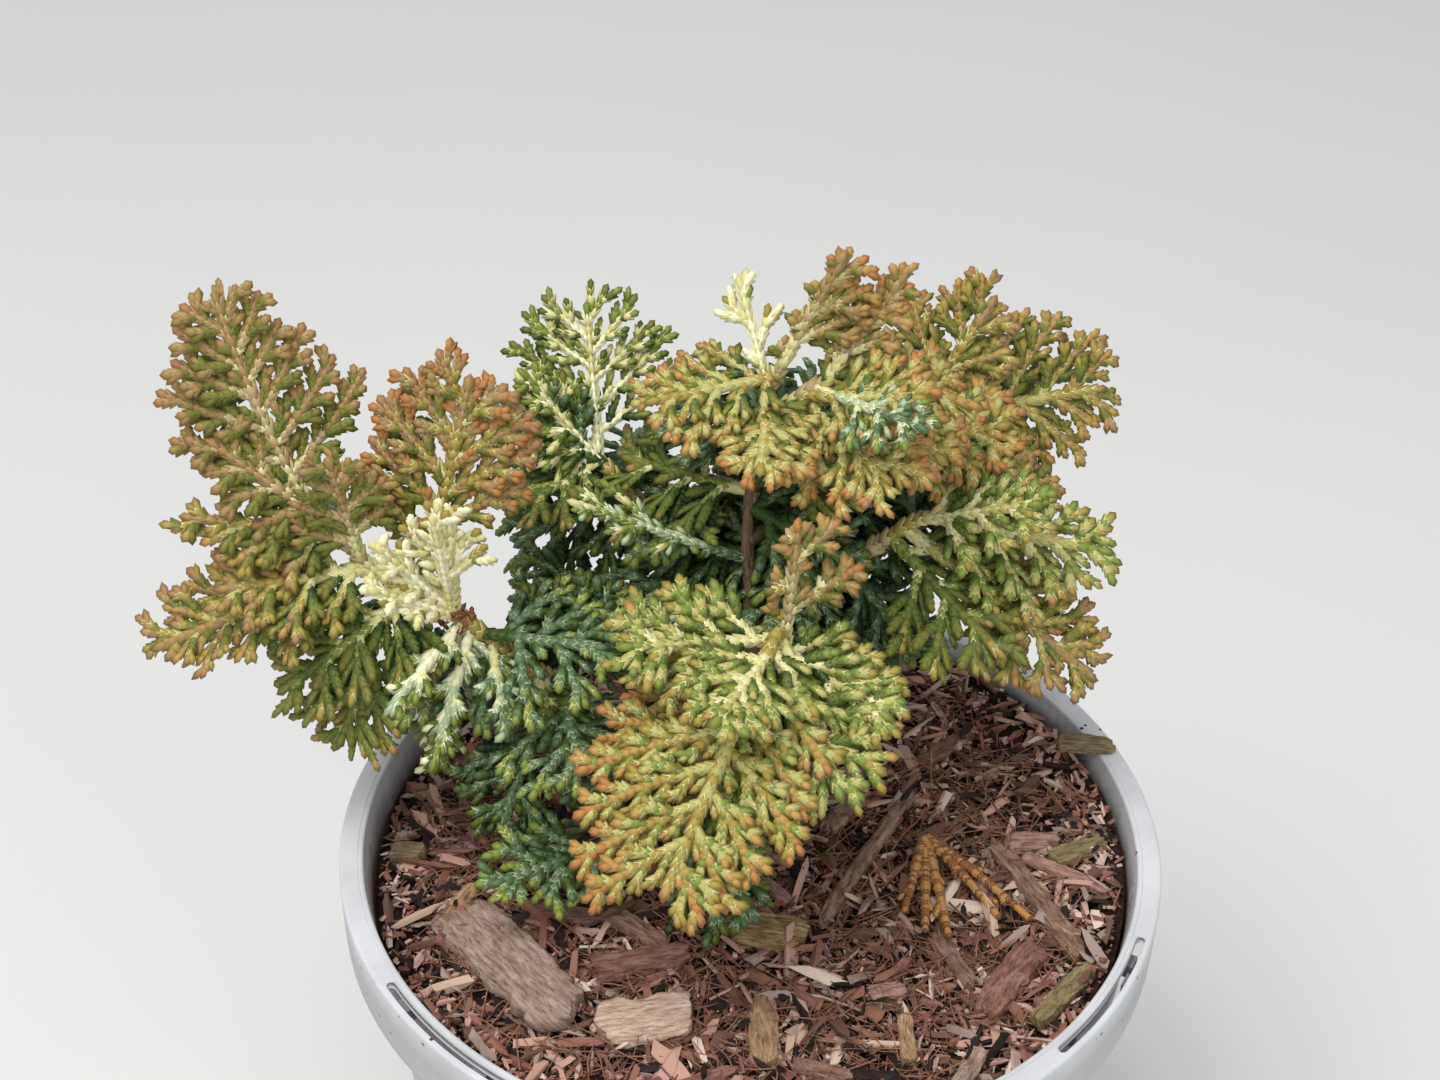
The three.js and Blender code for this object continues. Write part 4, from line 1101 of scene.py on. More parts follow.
# Smaller sprays between the masses, by the same rule
SMALL_SPRAY = dict(SPRAY, shoots=7, finger=5.5, droop=0.15, first=0.15)
FILLING = (
    dict(on=("left_upper", 0.9), tip=(-80, 8, 66.5), face=(0, -0.85, 0.5), wide=(0.42, 0.42),
         tones="bronze"),
    dict(on=("left_upper", 0.5), tip=(-80, 2, 44), wide=(0.42, 0.42), tones="gold"),
    dict(on=("left_upper", 0.25), tip=(-72, -1, 27), wide=(0.45, 0.45), tones="green"),
    dict(on=("left", 0.95), tip=(-54.5, -9, 30), wide=(0.3, 0.2), open=0.5, shoots=5, finger=3.4,
         slender=0.8, tones="frosted"),
    dict(on=("left", 0.92), tip=(-48.5, -9, 19), wide=(0.24, 0.2), open=0.45, shoots=6, finger=3.4,
         slender=0.8, tones="frosted"),
    dict(on=("left", 0.85), tip=(-37, -8, 25), wide=(0.3, 0.3), open=0.5, shoots=6, finger=4, slender=0.85,
         tones="silver"),
    dict(on=("left_upper", 0.6), tip=(-62, 4, 66), face=FRONT, wide=(0.45, 0.45), tones="bronze"),
    dict(on=("left", 0.7), tip=(-30, -6, 22), wide=(0.55, 0.55), tones="green"),
    dict(on=("right_back", 0.9), tip=(46, 32, 44), tones="gold"),
    dict(on=("right_back", 0.7), tip=(38, 26, 60), tones="crown"),
    dict(on=("right", 0.95), tip=(42, 12, 55), face=HIGH, tones="bright"),
    dict(on=("right", 0.8), tip=(38, 4, 32), tones="green"),
    dict(on=("back_left", 0.95), tip=(-38, 32, 58), face=FRONT, wide=(0.55, 0.55), tones="deep"),
    dict(on=("back_left", 0.8), tip=(-15, 31, 50), wide=(0.55, 0.55), tones="deep"),
    dict(on=("trunk", 0.93), tip=(0, 3, 66), face=HIGH, wide=(0.55, 0.55), droop=0.35, tones="crown"),
    dict(on=("crown", 0.8), tip=(27, 11, 63), face=HIGH, droop=0.35, tones="crown"),
    dict(on=("front", 0.95), tip=(-6, -27, 44), tones="bright"),
    dict(on=("front", 0.95), tip=(12, -27, 31), tones="bright"),
    dict(on=("front", 0.9), tip=(-17, -23, 34), tones="amber"),
    dict(on=("left", 0.98), tip=(-45, 3, 58.5), face=FRONT, wide=(0.4, 0.34), open=0.7, shoots=4, finger=3,
         first=0.4, slender=1.05, space=2.2, tones="pale"),
    dict(on=("left", 0.98), tip=(-55.5, 1, 53), wide=(0.26, 0.3), open=0.6, shoots=4, finger=3, first=0.4,
         slender=1.05, space=1.9, tones="pale"),
    dict(on=("left", 0.96), tip=(-56.5, -2, 47.5), wide=(0.22, 0.3), open=0.6, shoots=4, finger=3,
         first=0.4, slender=1.05, space=1.9, tones="pale"),
    dict(on=("back_left", 0.98), tip=(-41.5, 31, 55), wide=(0.25, 0.5), shoots=8, droop=0.6, finger=5,
         slender=0.75, tones="ribbed"),
    dict(on=("back_left", 0.98), tip=(-37, 33, 64), wide=(0.3, 0.4), open=0.9, droop=0.4, slender=0.85,
         tones="ribbed"),
    dict(on=("trunk", 0.56), tip=(-27.5, 9, 56), wide=(0.2, 0.34), open=0.6, shoots=5, first=0.4,
         finger=2.6, slender=0.72, tones="inner"),
    dict(on=("trunk", 0.5), tip=(-21, 2, 36), wide=(0.22, 0.22), open=0.7, shoots=6, first=0.3, finger=3,
         slender=0.72, tones="inner"),
    dict(on=("crown", 0.75), tip=(20.5, 22, 88), face=FRONT, wide=(0.4, 0.35), open=0.6, finger=4,
         tones="spike"),
    dict(on=("crown", 0.45), tip=(23, 9, 75), wide=(0.45, 0.45), tones="crown"),
    dict(on=("crown", 0.6), tip=(23, 3, 73.5), wide=(0.34, 0.34), finger=3, first=0.35, slender=0.75,
         tones="silver"),
)

# Small sprays inside the plant: the limb, the first and last place on it, how many, and how far they may rise
UNDERGROWTH = (
    ("trunk", 0.2, 0.88, 16, -0.1), ("left", 0.1, 0.86, 10, 0.1), ("back_left", 0.15, 1.0, 7, 0.0),
    ("right", 0.2, 0.9, 7, -0.1), ("right_back", 0.2, 0.9, 7, -0.1), ("front", 0.1, 0.6, 3, 0.0),
    ("low", 0.1, 0.9, 3, 0.2), ("rear", 0.15, 0.95, 7, 0.1), ("left_upper", 0.1, 0.5, 2, 0.0),
)
# The limbs whose small sprays all grow away from the front
BACKWARD = ("trunk", "right", "right_back", "front", "left_upper")
GOLDEN_ANGLE = 2.39996
UNDER_SPRAY = dict(SPRAY, wide=(0.62, 0.62), shoots=6, droop=0.35, finger=5.5, first=0.2)
UNDER_SIZES = (15, 8)
UNDER_SPACE = 1.25
# Painted shade: the sprays inside the plant take the darkest runs
UNDER_TONES = ("deep", "deep", "green", "blue")
LOWEST_TIP = -3.5


def grow_undergrowth(strips, width, pitch):
    """Short sprays, dark with painted shade, leave each limb round and round it by the golden angle, and
    droop towards their ends."""
    rng = np.random.default_rng(UNDERGROWTH_PLACES)
    number = 0
    for limb, first, last, count, rise in UNDERGROWTH:
        for k in range(count):
            number += 1
            place = first + (last - first) * (k + 0.5 * rng.random()) / max(1, count - 1)
            root = cubic(LIMBS[limb], min(1.0, place))
            angle = number * GOLDEN_ANGLE
            size = UNDER_SIZES[0] + UNDER_SIZES[1] * rng.random()
            way = arr(np.cos(angle), np.sin(angle), rise + 0.5 * (rng.random() - 0.6))
            way[1] = abs(way[1]) if limb in BACKWARD else way[1]
            tip = root + unit(way) * size
            tip[2] = max(tip[2], LOWEST_TIP)
            face = unit(arr(0.2 * rng.normal(), -0.45 + 0.2 * rng.normal(), 0.85))
            tones = UNDER_TONES[int(len(UNDER_TONES) * rng.random())]
            own = dict(UNDER_SPRAY, on=(limb, min(1.0, place)), tip=tip, face=face, tones=tones)
            grow_spray(strips, own, UNDERGROWTH_SEED + number, width, pitch * UNDER_SPACE)


# How far along each limb its bark is hidden by old scales, from this share of its length to its end
COVERED = {"left_upper": 0.0, "left": 0.62, "crown": 0.15, "right_back": 0.5, "right": 0.5, "back_left": 0.55,
           "front": 0.4, "low": 0.45, "rear": 0.5, "trunk": 0.9}
TRUNK_TIP_RADIUS = 0.75
FRONT_OF_LIMB = (0.1, -0.9, 0.4)
# How far they stand out past the limb: half widths at the foot and the end, and half the thickness
COVER_WIDTHS = (0.5, 0.4)
COVER_THICKNESS = 0.25


def cover_limbs(strips):
    """Long tan scales that hug the younger part of each limb, in three lengths of curve."""
    for limb, start in COVERED.items():
        thick, thin = TRUNK_RADII if limb == "trunk" else BOUGHS[limb][3]
        cuts = np.linspace(start, 1, 4)
        for low, high in zip(cuts[:-1], cuts[1:]):
            a, m, b = cubic(LIMBS[limb], np.array([low, (low + high) / 2, high]))
            radius = TRUNK_TIP_RADIUS if limb == "trunk" else thick + (thin - thick) * low
            widths, half = [radius + out for out in COVER_WIDTHS], radius + COVER_THICKNESS
            strips.add(a, 2 * m - (a + b) / 2, b, FRONT_OF_LIMB, widths, half, (low * 0.8, high * 0.8),
                       RUNS.index("stem"), AXIS_SCALE * 0.9, AXIS)


def leaf_templates():
    """Three closed shapes. The first is a whorl of scale leaves round the twig, two at the sides and two on
    the faces, each with its own tip past the foot of the next whorl. The second is the bud that ends a
    twig, and the third is the pale edge that shows past a whorl's tips."""
    def ring(*half):
        return [*half, *((x, -y, -z) for x, y, z in half)]

    foot = ring((0.1, 0.8, 0), (-0.16, 0.44, 0.62), (0.0, 0, 0.84), (-0.16, -0.44, 0.62))
    rim = ring((1.34, 1.12, 0), (0.42, 0.5, 0.84), (0.98, 0, 1.12), (0.42, -0.5, 0.84))
    tip_rim = ring((1.0, 1.0, 0), (0.4, 0.46, 0.74), (0.85, 0, 0.95), (0.4, -0.46, 0.74))
    past = [(x + EDGE_WIDTH, y * 0.98, z * 0.97) for x, y, z in rim]
    sets = [fan_faces(0, 1, 8, True), grid_faces(2, 8) + 1, fan_faces(17, 9, 8, False)]
    edge_sets = [fan_faces(0, 1, 8, True), fan_faces(9, 1, 8, False)]
    shapes = (
        (arr((-0.3, 0, 0), *foot, *rim, (1.15, 0, 0)), sets),
        (arr((-0.3, 0, 0), *foot, *tip_rim, (1.5, 0, 0)), sets),
        (arr((0.1, 0, 0), *past, (1.25, 0, 0)), edge_sets))
    return [(points, outward(points, as_triangles(sets))) for points, sets in shapes]


def as_triangles(sets):
    """The face sets as one, with each quad cut along a diagonal."""
    out = []
    for f in sets:
        out += [f] if f.shape[1] == 3 else [f[:, [0, 1, 2]], f[:, [0, 2, 3]]]
    return np.concatenate(out)


def outward(points, faces):
    """The faces turned to point away from the middle of a convex shape."""
    corners = points[faces]
    normal = np.cross(corners[:, 1] - corners[:, 0], corners[:, 2] - corners[:, 0])
    inward = ((corners.mean(1) - points.mean(0)) * normal).sum(1) < 0
    return np.where(inward[:, None], faces[:, ::-1], faces)


def lay_segments(rows, pitch):
    """Cuts each curve into segments of one pitch, and gives each segment its place, frame, size and tone."""
    a, c, b, face = rows[:, 0:3], rows[:, 3:6], rows[:, 6:9], rows[:, 9:12]
    start, end, thick, low, high, run, scale, kind = rows[:, 12:20].T
    length = np.linalg.norm(c - a, axis=1) + np.linalg.norm(b - c, axis=1)
    count = np.maximum(1, np.round(length / (pitch * scale))).astype(int)
    which = np.repeat(np.arange(len(rows)), count)
    k = np.arange(count.sum()) - np.repeat(np.cumsum(count) - count, count)
    t = (k / count[which])[:, None]
    forward = heading(a[which], c[which], b[which], t)
    side = unit(np.cross(face[which], forward))
    share = t[:, 0]
    return dict(
        at=along(a[which], c[which], b[which], t), forward=forward, side=side, up=np.cross(forward, side),
        step=(length / count)[which], width=start[which] + (end - start)[which] * share, thick=thick[which],
        tone=low[which] + (high - low)[which] * share, run=run[which].astype(int), last=k == count[which] - 1,
        which=which, kind=kind[which])


def placed_leaves(template, seg, length, width, thick):
    """The template's points carried by each segment's frame: forward, to the side and up."""
    points = template[None] * np.stack([length, width, thick], -1)[:, None]
    axes = np.stack([seg["forward"], seg["side"], seg["up"]], 1)
    return seg["at"][:, None] + points @ axes


# The colour of the pale edge of a leaf of a colour; leaves of the other colours have no pale edge. The
# pale edges are partly the scales' own pale margins and partly painted highlights
EDGE_SHADE = {
    "cream": "cream", "straw": "cream", "yellow": "straw", "lime": "straw", "gold": "straw", "tan": "straw",
    "amber": "gold", "copper": "tan", "bronze": "tan", "olive": "lime", "leaf": "lime", "green": "leaf",
    "blue": "frost", "frost": "cream", "dry": "tan", "rust": "dry",
}
EDGE_SHARE = 0.72
EDGE_WIDTH = 0.15
LEAF_OVERLAP = 1.05
BUD_WIDTH = 0.84
LEAF_CHANCE = 0.07
# How far chance moves a leaf along its run of colours: for the whole finger, and for each leaf, living or
# dead
FINGER_TONE_CHANCE = 0.05
LEAF_TONE_CHANCE = 0.02
DEAD_TONE_CHANCE = 0.14


def changed(colours, shades):
    """Each colour's number changed to the number of its shade."""
    return np.array([LEAF_NAMES.index(shades.get(name, name)) for name in LEAF_NAMES])[colours]


def leaf_colour(seg, rng):
    """The colour of each leaf: its place in the run of colours of its spray, moved by chance for each
    finger and each leaf."""
    per_strip = rng.normal(0, FINGER_TONE_CHANCE, seg["which"].max() + 1)[seg["which"]]
    mixed = np.where(seg["run"] == RUNS.index("dead"), DEAD_TONE_CHANCE, LEAF_TONE_CHANCE)
    tone = np.clip(seg["tone"] + per_strip + rng.normal(0, 1, len(mixed)) * mixed, 0, 0.9999)
    counts = np.array([len(run) for run in TONES.values()])
    table = np.zeros((len(TONES), counts.max()), int)
    for row, run in zip(table, TONES.values()):
        row[:len(run)] = [LEAF_NAMES.index(name) for name in run]
    return table[seg["run"], (tone * counts[seg["run"]]).astype(int)]


def scale_leaves(strips, pitch, seed):
    """All scale leaves of the strips as arrays: for each leaf shape its points, its faces and its colour."""
    rng = np.random.default_rng(seed)
    seg = lay_segments(strips.array(), pitch)
    (whorl, whorl_faces), (bud, bud_faces), (edge, edge_faces) = leaf_templates()
    size = 1 + LEAF_CHANCE * rng.standard_normal(len(seg["step"])).clip(-2, 2)
    long = seg["step"] * size * LEAF_OVERLAP
    wide = seg["width"] * size * np.where(seg["last"], BUD_WIDTH, 1.0)
    colours = leaf_colour(seg, rng)
    points = placed_leaves(whorl, seg, long, wide, seg["thick"])
    points[seg["last"]] = placed_leaves(bud, seg, long, wide, seg["thick"])[seg["last"]]
    out = [(points, whorl_faces, colours)]
    edged = np.isin(colours, [LEAF_NAMES.index(name) for name in EDGE_SHADE])
    edged &= ~seg["last"] & (rng.random(len(colours)) < EDGE_SHARE)
    few = {name: values[edged] for name, values in seg.items()}
    points = placed_leaves(edge, few, long[edged], wide[edged], few["thick"])
    out.append((points, edge_faces, changed(colours[edged], EDGE_SHADE)))
    return out


def leaf_finish(name, colour):
    """Waxy scale leaf: one plain colour and a soft gloss."""
    return Finish(name, Base_Color=linear(*colour), Roughness=0.45, Specular_IOR_Level=0.35).material


TRIANGLE_LIMIT = 190000


def leaf_pieces(prefix, leaves):
    """One piece for each colour, and more where one would have too many triangles."""
    made = []
    for number, (name, (colour, slot)) in enumerate(LEAF_COLOURS.items()):
        parts = []
        for points, faces, colours in leaves:
            chosen = points[colours == number]
            if len(chosen):
                parts.append((chosen, faces))
        if not parts:
            continue
        room, chunks, chunk = TRIANGLE_LIMIT, [], []
        for chosen, faces in parts:
            while len(chosen):
                fit = min(len(chosen), room // len(faces))
                chunk.append((chosen[:fit], faces))
                room -= fit * len(faces)
                chosen = chosen[fit:]
                if len(chosen):
                    chunks.append(chunk)
                    room, chunk = TRIANGLE_LIMIT, []
        chunks.append(chunk)
        title = f"{prefix}_{name}"
        material = leaf_finish(title, colour)
        for i, chunk in enumerate(chunks):
            solids = []
            for chosen, faces in chunk:
                solids.append((chosen.reshape(-1, 3), [copied_faces(faces, *chosen.shape[:2])]))
            vertices, sets = joined(solids)
            made.append(new_piece(title + (f"_{i + 1}" if i else ""), vertices, sets, material))
    return made


def twig_tubes(rows, radii, steps=4, sides=3):
    """Twigs along all the curves at once: rings square to each curve, closed by a fan at both ends."""
    a, c, b, face = (rows[:, i:i + 3][:, None] for i in (0, 3, 6, 9))
    t = np.linspace(0, 1, steps)[None, :, None]
    at, forward = along(a, c, b, t), heading(a, c, b, t)
    side = unit(np.cross(np.broadcast_to(face, forward.shape), forward))
    up = np.cross(forward, side)
    turn = round_angles(sides)
    radius = radii[:, 0, None] + (radii[:, 1, None] - radii[:, 0, None]) * t[..., 0]
    ring = np.cos(turn)[:, None] * side[:, :, None] + np.sin(turn)[:, None] * up[:, :, None]
    rings = at[:, :, None] + radius[..., None, None] * ring
    n = len(rows)
    _, (quads, caps) = capped_tube(rings[0])
    points = np.concatenate([rings.reshape(n, -1, 3), at[:, :1], at[:, -1:]], 1)
    return points.reshape(-1, 3), [copied_faces(f, *points.shape[:2]) for f in (quads, caps)]


def twig_finish():
    """Young brown-green twig, which shows only between the scale leaves."""
    finish = Finish("young_twig", Specular_IOR_Level=0.3)
    at = finish.place()
    finish.colour(finish.blend(finish.noise(at, 700, 2), linear(104, 84, 50), linear(150, 124, 78)))
    finish.rough(finish.noise(at, 900, 2) * 0.3 + 0.5)
    return finish.material


# Bark bed

GROUND_SINK = 1.9
GROUND_COLUMNS = 180
GROUND_ROWS = 70
# The lumps of the ground: depth, size and seed of each noise
GROUND_LUMPS = ((0.9, 5.0, 3), (0.5, 1.7, 4))


def ground_surface():
    """A closed drum: its top is a polar grid lifted by two sizes of noise, its side follows the pot's
    wall."""
    wall = circle(1, GROUND_COLUMNS)
    low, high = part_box("bark_bed")
    bottom = low.z * 1000 - RIM_HEIGHT
    foot, edge = POT_FOOT - 1.6, high.x * 1000 - 0.1
    radii = np.linspace(edge, 0.6, GROUND_ROWS)
    flat = radii[:, None, None] * wall
    x, y = flat[..., 0], flat[..., 1]
    z = BED_TOP - GROUND_SINK + heap(x, y)
    for depth, size, seed in GROUND_LUMPS:
        z = z + depth * noise(flat, size, seed)
    top = np.stack([x, y, z], -1)
    rings = np.concatenate([[wall * foot + (0, 0, bottom)], [wall * (edge - 0.3) + (0, 0, BED_TOP - 5)], top])
    return capped_tube(rings)


def ground_finish(colour):
    """Gritty dark compost: fine noise between a dark and a full shade."""
    finish = Finish("dark_ground", Specular_IOR_Level=0.2)
    at = finish.place()
    grit = finish.noise(at, 800, 4)
    finish.colour(finish.blend(grit.ramp(0.4, 0.7), darker(colour, 0.3), colour))
    finish.rough(0.8 + grit * 0.15)
    finish.bump(grit, 0.0006)
    return finish.material


# How far the end points of a shred lie from its middle, with three rings of corners and with two
LONG_END = 0.5
SHORT_END = 0.38


def splinter(rng, rows=3, columns=4):
    """A shred, one unit long, wide and thick: its ends run out to skew points, its sides are torn, and its
    section is an uneven polygon."""
    turn = round_angles(columns) + rng.random() * 2
    x = np.linspace(-0.3, 0.3, rows)[:, None] + rng.uniform(-0.13, 0.13, (rows, columns))
    fat = (0.7 + 0.3 * rng.random((rows, 1))) * (0.7 + 0.45 * rng.random((rows, columns))) * 0.5
    bow = rng.uniform(-0.5, 0.5) * (x ** 2)
    rings = np.stack([x, fat * np.cos(turn) + bow, fat * np.sin(turn) + 0.6 * bow], -1)
    vertices, sets = capped_tube(rings)
    end = LONG_END if rows > 2 else SHORT_END
    vertices[-2] = (-end, rng.uniform(-0.3, 0.3), rng.uniform(-0.3, 0.3))
    vertices[-1] = (end, rng.uniform(-0.3, 0.3), rng.uniform(-0.3, 0.3))
    return vertices, as_triangles(sets)


def turned_axes(yaw, pitch, roll):
    """Three unit axes for each row: along, across and up, turned about Z, then tipped, then rolled."""
    cy, sy, cp, sp = np.cos(yaw), np.sin(yaw), np.cos(pitch), np.sin(pitch)
    cr, sr = np.cos(roll), np.sin(roll)
    along_axis = np.stack([cy * cp, sy * cp, sp], -1)
    level = np.stack([-sy, cy, 0 * cy], -1)
    up = np.cross(along_axis, level)
    across = level * cr[:, None] + up * sr[:, None]
    return np.stack([along_axis, across, np.cross(along_axis, across)], 1)


# Colours of the shreds, and how common each is
SHRED_COLOURS = {
    "red_brown": ((142, 96, 79), 0.24),
    "brown": ((106, 75, 60), 0.2),
    "dark": ((34, 22, 16), 0.24),
    "pink_brown": ((190, 149, 132), 0.15),
    "tan": ((196, 167, 147), 0.07),
    "grey_brown": ((160, 139, 128), 0.1),
    "pale": ((222, 199, 182), 0.04),
}
# The heap against the wall: its height, the way to its middle, the radius where it starts and how far it
# reaches
HEAP_HEIGHT = 5.0
HEAP_WAY = (0.866, 0.5)
HEAP_START = 43
HEAP_REACH = 16
HEAP_POWERS = (1.5, 0.8)
HEAP_SIDE = 0.35


def heap(x, y):
    """How far the bark is heaped up against the wall: the power of a straight rise over the outer quarter
    of the radius, and the more the nearer a place is to the back on the right."""
    radius = np.hypot(x, y)
    rise = np.clip((radius - HEAP_START) / HEAP_REACH, 0, 1) ** HEAP_POWERS[0]
    turned = (HEAP_WAY[0] * x + HEAP_WAY[1] * y) / np.maximum(radius, 1)
    return HEAP_HEIGHT * rise * np.clip((turned - HEAP_SIDE) / (1 - HEAP_SIDE), 0, 1) ** HEAP_POWERS[1]


SCATTER_RADIUS = 59.3
WALL_RADIUS = 60.2
FIBRE_RADIUS = 54


def scattered(rng, count):
    """Places on the bed: even over its area, out to the pot's wall."""
    radius = SCATTER_RADIUS * np.sqrt(rng.random(count))
    turn = rng.random(count) * TAU
    return radius * np.cos(turn), radius * np.sin(turn)


# Splinters, crumbs and flakes: how common each kind is. Then the least and greatest length of crumbs and
# flakes, and for each kind the width as a share of the length and the thickness as a share of the width
SHRED_SHARES = (0.42, 0.51, 0.07)
SPLINTER_LENGTHS = (1.4, 12)
CRUMB_LENGTHS = (0.6, 2.3)
FLAKE_LENGTHS = (3.0, 8.5)
SHRED_WIDTHS = ((0.12, 0.32), (0.4, 0.85), (0.2, 0.4))
SHRED_THICKNESSES = ((0.5, 0.9), (0.4, 0.8), (0.25, 0.5))
LEAST_WIDTH = 0.35
THICKNESS_LIMITS = (0.25, 1.6)
# How far the shreds tip and roll by chance, in radians, and how high over the bed their middles lie
TIP_CHANCE = 0.26
ROLL_CHANCE = 0.6
SHRED_HEIGHTS = (-0.4, 1.1)


def shreds(count, seed=5):
    """Shreds of bark as arrays: a few templates, each scaled, turned and put down many times. Half of them
    are crumbs, most of the others narrow splinters, and a few larger flakes."""
    rng = np.random.default_rng(seed)
    templates = [splinter(rng, 2 + i % 2) for i in range(12)]
    x, y = scattered(rng, count)
    kind = rng.choice(3, count, p=SHRED_SHARES)
    length = np.choose(kind, [
        np.clip(rng.lognormal(1.12, 0.5, count), *SPLINTER_LENGTHS), rng.uniform(*CRUMB_LENGTHS, count),
        rng.uniform(*FLAKE_LENGTHS, count)])
    width = length * np.choose(kind, [rng.uniform(*limits, count) for limits in SHRED_WIDTHS])
    width = np.maximum(width, LEAST_WIDTH)
    thick = width * np.choose(kind, [rng.uniform(*limits, count) for limits in SHRED_THICKNESSES])
    thick = np.clip(thick, *THICKNESS_LIMITS)
    yaw = rng.random(count) * TAU
    tip = rng.normal(0, TIP_CHANCE, count)
    roll = rng.normal(0, ROLL_CHANCE, count)
    z = BED_TOP - 1.5 + rng.uniform(*SHRED_HEIGHTS, count) + 0.1 * length + heap(x, y)
    axes = turned_axes(yaw, tip, roll)
    room = np.hypot(x, y) + 0.5 * length * np.abs(np.cos(yaw - np.arctan2(y, x))) < WALL_RADIUS
    which = 2 * rng.integers(0, len(templates) // 2, count) + (kind == 0)
    names = list(SHRED_COLOURS)
    share = np.array([SHRED_COLOURS[n][1] for n in names])
    colours = rng.choice(len(names), count, p=share / share.sum())
    out = {name: [] for name in names}
    for i, (points, faces) in enumerate(templates):
        for j, name in enumerate(names):
            pick = np.nonzero((which == i) & (colours == j) & room)[0]
            if len(pick) == 0:
                continue
            sizes = np.stack([length, width, thick], -1)[pick][:, None]
            laid = (points[None] * sizes) @ axes[pick] + np.stack([x, y, z], -1)[pick][:, None]
            out[name].append((laid.reshape(-1, 3), [copied_faces(faces, *laid.shape[:2])]))
    return out


FIBRE_HALVES = (1.5, 5.5)
FIBRE_BEND = 0.9
FIBRE_RADII = (0.07, 0.2)
FIBRE_COLOUR = (146, 104, 82)


def fibres(count, seed=8):
    """Thin curved strands that lie on the shreds."""
    rng = np.random.default_rng(seed)
    x, y = scattered(rng, count)
    keep = np.hypot(x, y) < FIBRE_RADIUS
    x, y = x[keep], y[keep]
    n = len(x)
    z = BED_TOP - 0.6 + rng.uniform(-0.6, 1.3, n) + heap(x, y)
    at = np.stack([x, y, z], -1)
    yaw = rng.random(n) * TAU
    way = np.stack([np.cos(yaw), np.sin(yaw), rng.normal(0, 0.16, n)], -1)
    way *= rng.uniform(*FIBRE_HALVES, n)[:, None]
    bend = np.stack([-np.sin(yaw), np.cos(yaw), rng.uniform(-0.1, 0.5, n)], -1)
    bend *= rng.normal(0, FIBRE_BEND, n)[:, None]
    rows = np.concatenate([at - way, at + bend, at + way, np.tile((0.1, 0.2, 0.97), (n, 1))], 1)
    thick = rng.uniform(*FIBRE_RADII, n)
    return twig_tubes(rows, np.stack([thick, thick * 0.5], -1), 5)


def plain_bark(name, colour):
    """Damp bark of one plain colour, for the small shreds."""
    return Finish(name, Base_Color=linear(*colour), Roughness=0.72, Specular_IOR_Level=0.35).material


# Chips: middle, size, turn and tilt in degrees, and finish
CHIPS = {
    "chip_broad": ((-36.7, -23.8), (31, 10.5, 3.2), -51, 4, "grey"),
    "chip_lens": ((-16.5, -23.5), (15.4, 5, 2.6), 17, -4, "red"),
    "chip_cream": ((-15.2, -35), (13.8, 8.6, 2.8), 8, 3, "cream"),
    "chip_brown": ((2.8, -16.6), (12.5, 6.6, 2.8), -6, -3, "two_tone"),
    "stick_long": ((19.6, 1.5), (36.8, 2.6, 2.4), -117, 3, "brown"),
    "stick_right": ((45.5, -8.5), (28.6, 3.6, 2.4), -67, 2, "brown"),
    "chip_red": ((39.5, -26), (18, 5.6, 2.8), -122, 3, "red"),
}
LOOSE_CHIPS = (
    ((46.7, 4.3), (8.4, 4.3, 1.6), -5, 8, "pink"),
    ((53.0, 0.8), (10.2, 4.0, 1.8), 23, 4, "olive"),
    ((50.4, -3.6), (15.4, 2.4, 1.6), -35, 3, "pink"),
    ((47.3, -29.0), (16.4, 3.4, 1.8), -129, 4, "olive"),
    ((23.2, -37.8), (10, 2.4, 1.6), -89, 5, "tan"),
    ((2.0, -36.1), (13.5, 4.8, 1.8), -89, 4, "tan"),
    ((-55.3, -0.2), (5.9, 4.3, 2.2), -15, 12, "olive"),
    ((20.6, -28.4), (5.7, 3.1, 1.4), 11, 3, "pink"),
    ((-28.9, -13.3), (11.2, 2.9, 1.8), -10, 5, "brown"),
    ((-18.2, -15.7), (12.7, 4.1, 1.8), -35, -5, "brown"),
    ((2.8, -5.9), (11.3, 2.3, 1.4), -51, 6, "pink"),
    ((31.5, -22.0), (12.5, 2.8, 1.6), -68, 5, "brown"),
    ((16.0, 12.0), (14, 3.4, 1.8), -120, 4, "brown"),
    ((34.0, 28.0), (13, 3.0, 1.6), 40, 4, "red"),
    ((-20.0, 38.0), (16, 5.0, 2.0), 15, 5, "grey"),
    ((8.0, 46.0), (12, 4.0, 1.8), -40, -4, "red"),
    ((-44.0, 22.0), (13, 3.4, 1.8), 70, 4, "brown"),
    ((24.0, 47.0), (10, 3.2, 1.6), 10, 5, "tan"),
    ((-8.0, -47.0), (12, 3.2, 1.6), 25, 4, "red"),
    ((10.5, -44.0), (9, 3.0, 1.6), -20, 4, "brown"),
    ((32.0, -43.0), (9, 3.0, 1.6), 60, 4, "grey"),
    ((-46.0, -12.0), (10, 2.6, 1.6), 60, 6, "tan"),
)
RIM_CHIP = ((55.6, 20.3), (9.4, 3.8, 1.4), -3, 0, "olive")
CHIP_SEED = 60
RIM_CHIP_SEED = 80
LOOSE_CHIP_SEED = 90
# Each finish's three colours: middle, dark and light
CHIP_TONES = {
    "grey": ((164, 136, 120), (118, 92, 78), (198, 174, 156)),
    "red": ((136, 90, 76), (86, 54, 46), (176, 134, 118)),
    "cream": ((216, 184, 162), (168, 124, 100), (240, 216, 196)),
    "two_tone": ((160, 126, 78), (104, 74, 48), (206, 178, 132)),
    "brown": ((140, 106, 88), (92, 64, 52), (178, 146, 124)),
    "pink": ((176, 132, 118), (132, 92, 80), (206, 168, 152)),
    "olive": ((136, 118, 84), (92, 76, 52), (172, 154, 112)),
    "tan": ((178, 140, 104), (126, 92, 66), (204, 172, 136)),
}


